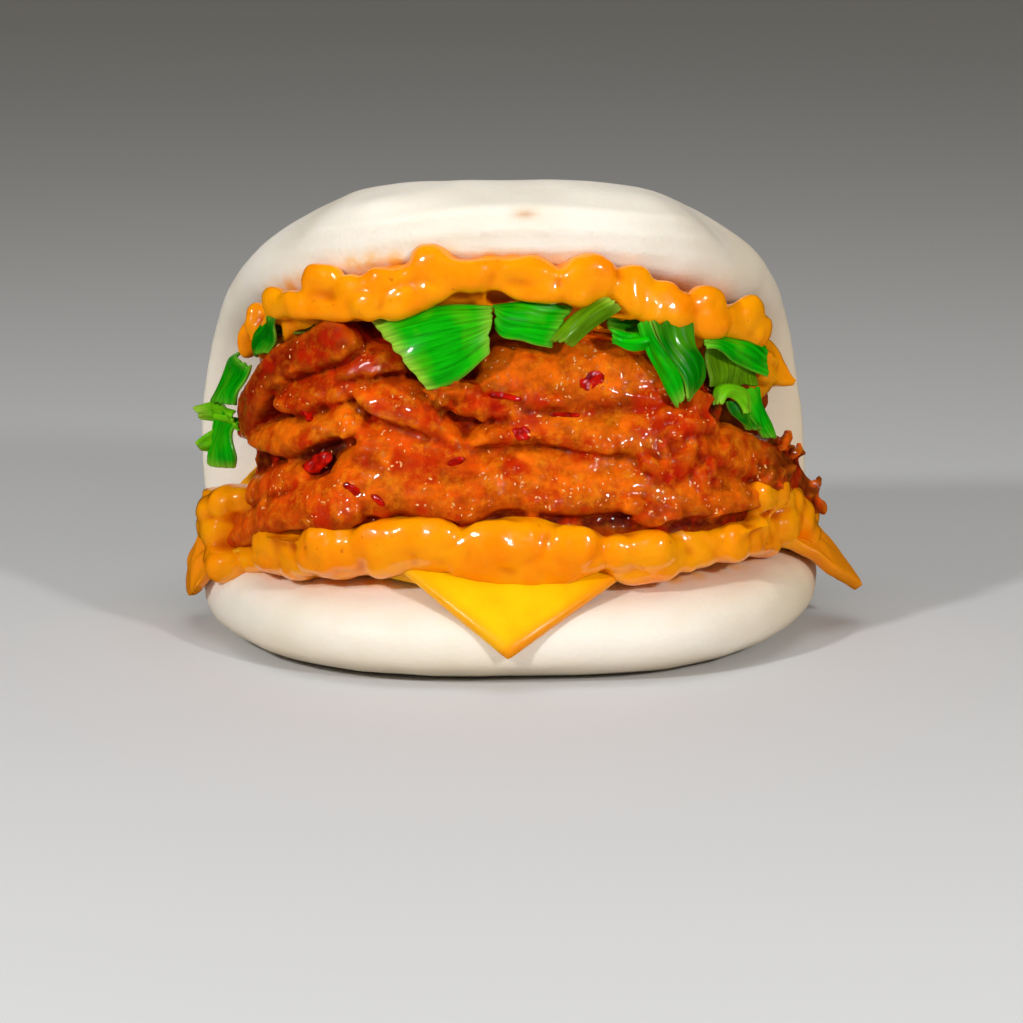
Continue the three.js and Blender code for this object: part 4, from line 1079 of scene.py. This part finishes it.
# Spring onion: each piece is one or more blades between two edges, given as x and z along the grain,
# with how far out each edge lies, the bow between them, the tint and how pale its two ends are
leafTints = {
    "bright": "#06ac02", "deep": "#047c02", "olive": "#5c8c04", "lime": "#6cc40c", "hollowShade": "#3c2c06",
    "cut": "#a8cc40",
}
scallions = {
    "thick": 0.65, "rib": 0.1, "ribSpacing": 1.7, "across": 16, "along": 24,
    "wave": 0.45, "waveAlong": 6, "waveAcross": 2.5,
    "jag": 0.085, "jagFrom": 0.7, "paleFrom": 0.8,  # ends fray and turn pale past these shares of the length
    "edgePale": 0.35, "edgeFrom": 0.92,
    "pieces": [
        [{"a": [(-25, 59.2), (-19.9, 60.8), (-13.2, 62), (-3.8, 62)],
          "b": [(-15.6, 48.5), (-12.4, 49.4), (-9.1, 51.2), (-5, 54.6)],
          "out": (1, 4.2), "bow": 2.2, "tint": "bright", "pale": (0.9, 0.5)}],
        [{"a": [(-4.5, 62.2), (1.7, 62.6), (9.2, 62)],
          "b": [(-4.4, 59), (-3, 57.3), (0, 56.6), (2.5, 55.7), (5.3, 55.3)],
          "out": (1, 3), "bow": 0.8, "tint": "bright", "pale": (0.1, 0.3)}],
        [{"a": [(4.8, 56.4), (9.1, 60.9), (14.2, 63.8)], "b": [(8.6, 55.6), (11.6, 58.2), (17, 61.8)],
          "out": (3.4, 3.8), "bow": 1.8, "tint": "olive", "pale": (0.2, 0.7)}],
        [{"a": [(14.7, 58.3), (18, 57.6), (22.5, 57.4)], "b": [(15.4, 56.2), (18.4, 54.7), (22.5, 55.2)],
          "out": (3.2, 3.6), "bow": 0.8, "tint": "bright", "pale": (0.1, 0.1)},
         {"a": [(15, 60.4), (20, 60.6), (25, 60)], "b": [(14.8, 58), (19, 57), (24, 57)],
          "out": (0.8, 0.2), "bow": -0.6, "tint": "deep", "pale": (0.2, 0.1)}],
        [{"a": [(20, 59.5), (21, 54.8), (23.3, 50.6), (25, 47.3), (26.9, 45)],
          "b": [(21.7, 60), (23.2, 56.6), (25.1, 53.5), (27.1, 50.2), (27.6, 46.6)],
          "out": (3.6, 5.4), "bow": 0.5, "tint": "bright", "pale": (0.1, 0.5)},
         {"a": [(21.7, 60), (23.2, 56.6), (25.1, 53.5), (27.1, 50.2), (27.6, 46.6)],
          "b": [(29.1, 59), (29.4, 54.7), (31.2, 52.1), (31.5, 49), (28.3, 45.7)],
          "out": (5.4, 3.4), "bow": 0.4, "tint": "deep", "pale": (0.1, 0.4)}],
        [{"a": [(30.8, 56), (34.3, 56), (39, 54.4), (43, 52)],
          "b": [(31, 54), (33.5, 53.6), (36.3, 51.6), (39.1, 50), (43, 47.2)],
          "out": (1.5, 4), "bow": 0.8, "tint": "bright", "pale": (0.4, 0.1)},
         {"a": [(31.7, 54), (32, 47.2)], "b": [(41.5, 52), (41.2, 46)],
          "out": (1.4, 1.8), "bow": 0.6, "tint": "olive", "pale": (0.1, 0.0)}],
        [{"a": [(32.8, 44.4), (33.4, 47.3), (35.8, 47.4), (38.8, 45.6), (39.8, 42)],
          "b": [(34, 44.4), (35, 45.4), (36.2, 45.5), (37.2, 44.4), (38, 42.2)],
          "out": (2.6, 3), "bow": 0.8, "tint": "lime", "pale": (0.6, 0.3)},
         {"a": [(35.5, 44.6), (36.6, 42), (39.5, 39)], "b": [(39.6, 44.4), (40.4, 41.6), (41.6, 38.4)],
          "out": (1.8, 1.8), "bow": 0.5, "tint": "deep", "pale": (0.0, 0.3)},
         {"a": [(37.6, 46.4), (39, 41.8), (42.6, 36.8)], "b": [(41.4, 46), (43.2, 41.2), (44.7, 35.8)],
          "out": (1.6, 1.8), "bow": 0.6, "tint": "bright", "pale": (0.0, 0.4)}],
        [{"a": [(-44.6, 50.4), (-44.8, 52.8), (-43.4, 55.8), (-42, 58.6)],
          "b": [(-42.2, 52), (-41.5, 53.6), (-40.8, 55.4), (-40.6, 58.4)],
          "out": (2, 2.6), "bow": 0.8, "tint": "deep", "pale": (0.2, 0.2)},
         # painted shade: a dark sheet set back in the tube's hollow end
         {"a": [(-41, 58.6), (-34, 59.6)], "b": [(-41, 54.6), (-34, 56.4)],
          "out": (0.5, -1), "bow": -0.5, "tint": "hollowShade", "pale": (0.2, 0.0)}],
        [{"a": [(-47.4, 50.4), (-50, 46), (-53.4, 39.6)], "b": [(-45.6, 49), (-46.8, 45), (-48.4, 40.6)],
          "out": (2.4, 3), "bow": 0.8, "tint": "bright", "pale": (0.3, 0.2)}],
        [{"a": [(-48, 40), (-52.5, 39.8), (-56.2, 38.8)], "b": [(-48, 36.6), (-51, 36.4), (-55, 37)],
          "out": (3.2, 3.4), "bow": 0.6, "tint": "lime", "pale": (0.0, 0.8)},
         {"a": [(-50, 39.6), (-52.4, 36), (-53.6, 31.2), (-53.4, 29)],
          "b": [(-47.8, 38.4), (-48.6, 35.4), (-48.4, 32), (-48.8, 29.4)],
          "out": (3, 3), "bow": 0.6, "tint": "bright", "pale": (0.0, 0.6)},
         {"a": [(-51, 36), (-53.5, 34.6), (-55.8, 32.6)], "b": [(-50.5, 33), (-52.5, 31.6), (-54.6, 31.4)],
          "out": (3.4, 3.4), "bow": 0.4, "tint": "lime", "pale": (0.0, 0.7)}],
    ],
}


def springOnionMaterial():
    # Spring onion leaf, cut raw: a waxy ribbed green with fine veins, paler at the cuts and inside
    material, tree, shader, place = newMaterial("cut spring onion leaf", {
        "IOR": 1.4, "Specular IOR Level": 0.1, "Subsurface Weight": 0.1,
        "Subsurface Radius": (0.2, 1.0, 0.05), "Subsurface Scale": 0.8 * mm,
        "Coat Weight": 0.2, "Coat Roughness": 0.1,
    })
    leaf = addNode(tree, "ShaderNodeUVMap", {"uv_map": "leaf"}, {})  # in mm across and along the blade
    stretch = addNode(tree, "ShaderNodeMapping", {"Scale": (1 / 0.55, 1 / 11, 1.0)},
                      {"Vector": leaf.outputs["UV"]})
    vein = addNode(tree, "ShaderNodeTexNoise", {"Scale": 1.0, "Detail": 3.0},
                   {"Vector": stretch.outputs["Vector"]})
    shade = addNode(tree, "ShaderNodeMapRange",
                    {"From Min": 0.3, "From Max": 0.72, "To Min": 0.5, "To Max": 1.3},
                    {"Value": vein.outputs["Fac"]})
    tint = addNode(tree, "ShaderNodeAttribute", {"attribute_name": "tint"}, {})
    veined = addNode(tree, "ShaderNodeVectorMath", {"operation": "SCALE"},
                     {"Vector": tint.outputs["Color"], "Scale": shade.outputs["Result"]})
    cloud = addNode(tree, "ShaderNodeTexNoise", {"Scale": 1 / (6 * mm), "Detail": 2.0}, {"Vector": place})
    fade = addNode(tree, "ShaderNodeMapRange", {"From Min": 0.5, "From Max": 0.8, "To Max": 0.35},
                   {"Value": cloud.outputs["Fac"]})
    faded = addNode(tree, "ShaderNodeMixRGB", {"Color2": toLinear("#7ec014")},
                    {"Fac": fade.outputs["Result"], "Color1": veined.outputs["Vector"]})
    wax = addNode(tree, "ShaderNodeMapRange", {"To Min": 0.25, "To Max": 0.45},
                  {"Value": vein.outputs["Fac"]})
    bump = addNode(tree, "ShaderNodeBump", {"Strength": 0.35, "Distance": 0.15 * mm},
                   {"Height": vein.outputs["Fac"]})
    feed(tree, shader, {"Base Color": faded.outputs["Color"], "Roughness": wax.outputs["Result"],
                        "Normal": bump.outputs["Normal"]})
    return material


def addBlade(bm, blade, seed):
    uvLayer = bm.loops.layers.uv.verify()
    tintLayer = bm.verts.layers.float_color["tint"]
    edgeA = splineThrough(onFilling(blade["a"], blade["out"][0]))
    edgeB = splineThrough(onFilling(blade["b"], blade["out"][1]))
    across, along = scallions["across"], scallions["along"]
    made = bmesh.ops.create_grid(bm, x_segments=across, y_segments=along, size=1)["verts"]
    green, cutTint = Vector(toLinear(leafTints[blade["tint"]])), Vector(toLinear(leafTints["cut"]))
    flat = {v: (v.co.x, v.co.y * 0.5 + 0.5) for v in made}
    length = (edgeA(1)[0] - edgeA(0)[0]).length
    width = (edgeA(0.5)[0] - edgeB(0.5)[0]).length
    for face in {f for v in made for f in v.link_faces}:
        for loop in face.loops:
            v, u = flat[loop.vert]
            loop[uvLayer].uv = (v * width / 2 + 40 * seed, u * length)
    for vert in made:
        v, u = flat[vert]
        nearEnd = smoothStep(abs(2 * u - 1), scallions["jagFrom"], 1)
        frayed = scallions["jag"] * noise.noise(Vector((6 * v, 9 * seed, 2 * u))) * nearEnd
        u = min(1, max(0, u + frayed - abs(frayed) * (2 * u - 1)))
        a, alongA = edgeA(u)
        b, alongB = edgeB(u)
        middle = a.lerp(b, 0.5 + 0.5 * v)
        outward = (b - a).cross(alongA + alongB).normalized()
        if outward.dot(fillingOutward(middle.x, middle.z)) < 0:
            outward = -outward
        phase = seed + scallions["waveAlong"] * u + scallions["waveAcross"] * v
        wave = scallions["wave"] * math.sin(phase)
        ribs = scallions["rib"] * math.sin(v * width * math.pi / scallions["ribSpacing"])
        start, end = (smoothStep(share, scallions["paleFrom"], 1) for share in (1 - u, u))
        ends = start * blade["pale"][0] + end * blade["pale"][1]
        sides = scallions["edgePale"] * smoothStep(abs(v), scallions["edgeFrom"], 1)
        vert[tintLayer] = green.lerp(cutTint, min(1, ends + sides))
        vert.co = (middle + outward * (blade["bow"] * (1 - v * v) + wave + ribs)) * mm


def makeScallion(i, material):
    bm = bmesh.new()
    bm.loops.layers.uv.new("leaf")
    bm.verts.layers.float_color.new("tint")
    for j, blade in enumerate(scallions["pieces"][i]):
        addBlade(bm, blade, i + 0.37 * j)  # each has a seed of its own
    bmesh.ops.recalc_face_normals(bm, faces=bm.faces)
    piece = objectFrom(bm, "spring_onion_%02d" % (i + 1))
    applied(piece, "SOLIDIFY", {"thickness": scallions["thick"] * mm, "offset": 0.0})
    applied(piece, "SUBSURF", {"levels": 1, "render_levels": 1})
    finishPiece(piece, material, "spring_onion", "scallion_%02d" % (i + 1))


# Stage, light and camera, with places in mm
photoView = {
    "azimuth": -2.5, "elevation": 12, "distance": 640, "target": (-1, -14, 25.5),
    "lens": 131.96, "sensor": 36,
}
lights = [
    {"name": "keyLeft", "at": (-420, -460, 380), "size": 60, "power": 2.45, "mirrored": True},
    {"name": "keyRight", "at": (360, -520, 300), "size": 60, "power": 1.9, "mirrored": True},
    {"name": "overhead", "at": (0, -60, 700), "size": 600, "power": 1.4, "mirrored": False},
]
room = {"lightsAim": (0, -10, 35), "colour": "#f2ebdd", "strength": 0.2, "floorHalf": 4000}


def viewAxes(azimuth, elevation):
    a, e = math.radians(azimuth), math.radians(elevation)
    back = Vector((math.sin(a) * math.cos(e), -math.cos(a) * math.cos(e), math.sin(e)))
    right = Vector((math.cos(a), math.sin(a), 0))
    return Matrix((right, back.cross(right), back)).transposed(), back


def paleFloorMaterial():
    # Matte pale paper: an even light grey without gloss
    material, tree, shader, place = newMaterial("matte pale paper", {"Roughness": 0.8})
    cloud = addNode(tree, "ShaderNodeTexNoise", {"Scale": 1 / (300 * mm)}, {"Vector": place})
    tint = addNode(tree, "ShaderNodeValToRGB", {"stops": [(0, "#d2d3d5"), (1, "#d8d9da")]},
                   {"Fac": cloud.outputs["Fac"]})
    feed(tree, shader, {"Base Color": tint.outputs["Color"]})
    return material


def makeStage():
    bm = bmesh.new()
    bmesh.ops.create_grid(bm, x_segments=1, y_segments=1, size=room["floorHalf"] * mm)
    floor = objectFrom(bm, "floor")
    floor.data.materials.append(paleFloorMaterial())
    floor.visible_glossy = False  # the wet sauce keeps its full colour, as over a dark table

    world = bpy.data.worlds.new("soft room")
    bpy.context.scene.world = world
    world.use_nodes = True
    air = world.node_tree.nodes["Background"]
    air.inputs["Color"].default_value = toLinear(room["colour"])
    air.inputs["Strength"].default_value = room["strength"]
    world.cycles_visibility.glossy = False

    for light in lights:
        data = bpy.data.lights.new(light["name"], "AREA")
        data.shape = "DISK"
        data.size = light["size"] * mm
        data.energy = light["power"]
        lamp = bpy.data.objects.new(light["name"], data)
        lamp.location = Vector(light["at"]) * mm
        away = Vector(light["at"]) - Vector(room["lightsAim"])
        lamp.rotation_euler = away.to_track_quat("Z", "Y").to_euler()
        lamp.visible_glossy = light["mirrored"]  # only the small lamps show as highlights on wet surfaces
        bpy.context.scene.collection.objects.link(lamp)

    data = bpy.data.cameras.new("photo view")
    data.lens = photoView["lens"]
    data.sensor_width = photoView["sensor"]
    camera = bpy.data.objects.new("photo view", data)
    turn, back = viewAxes(photoView["azimuth"], photoView["elevation"])
    eye = Vector(photoView["target"]) + back * photoView["distance"]
    camera.matrix_world = Matrix.Translation(eye * mm) @ turn.to_4x4()
    bpy.context.scene.collection.objects.link(camera)
    bpy.context.scene.camera = camera
    bpy.context.scene.view_settings.view_transform = "Standard"
    print("stage ready")


makeStage()
makeBun()
makeSlice()
sauceMaterial = cheeseSauceMaterial()
makeSauce(lowerSauce, "cheese_sauce_lower", sauceMaterial)
makeSauce(upperSauce, "cheese_sauce_upper", sauceMaterial)
meatSkin = makeMeat()
makeFlakes(meatSkin)
makeBeads(meatSkin)
leafMaterial = springOnionMaterial()
for number in range(len(scallions["pieces"])):
    makeScallion(number, leafMaterial)

print("all pieces made")
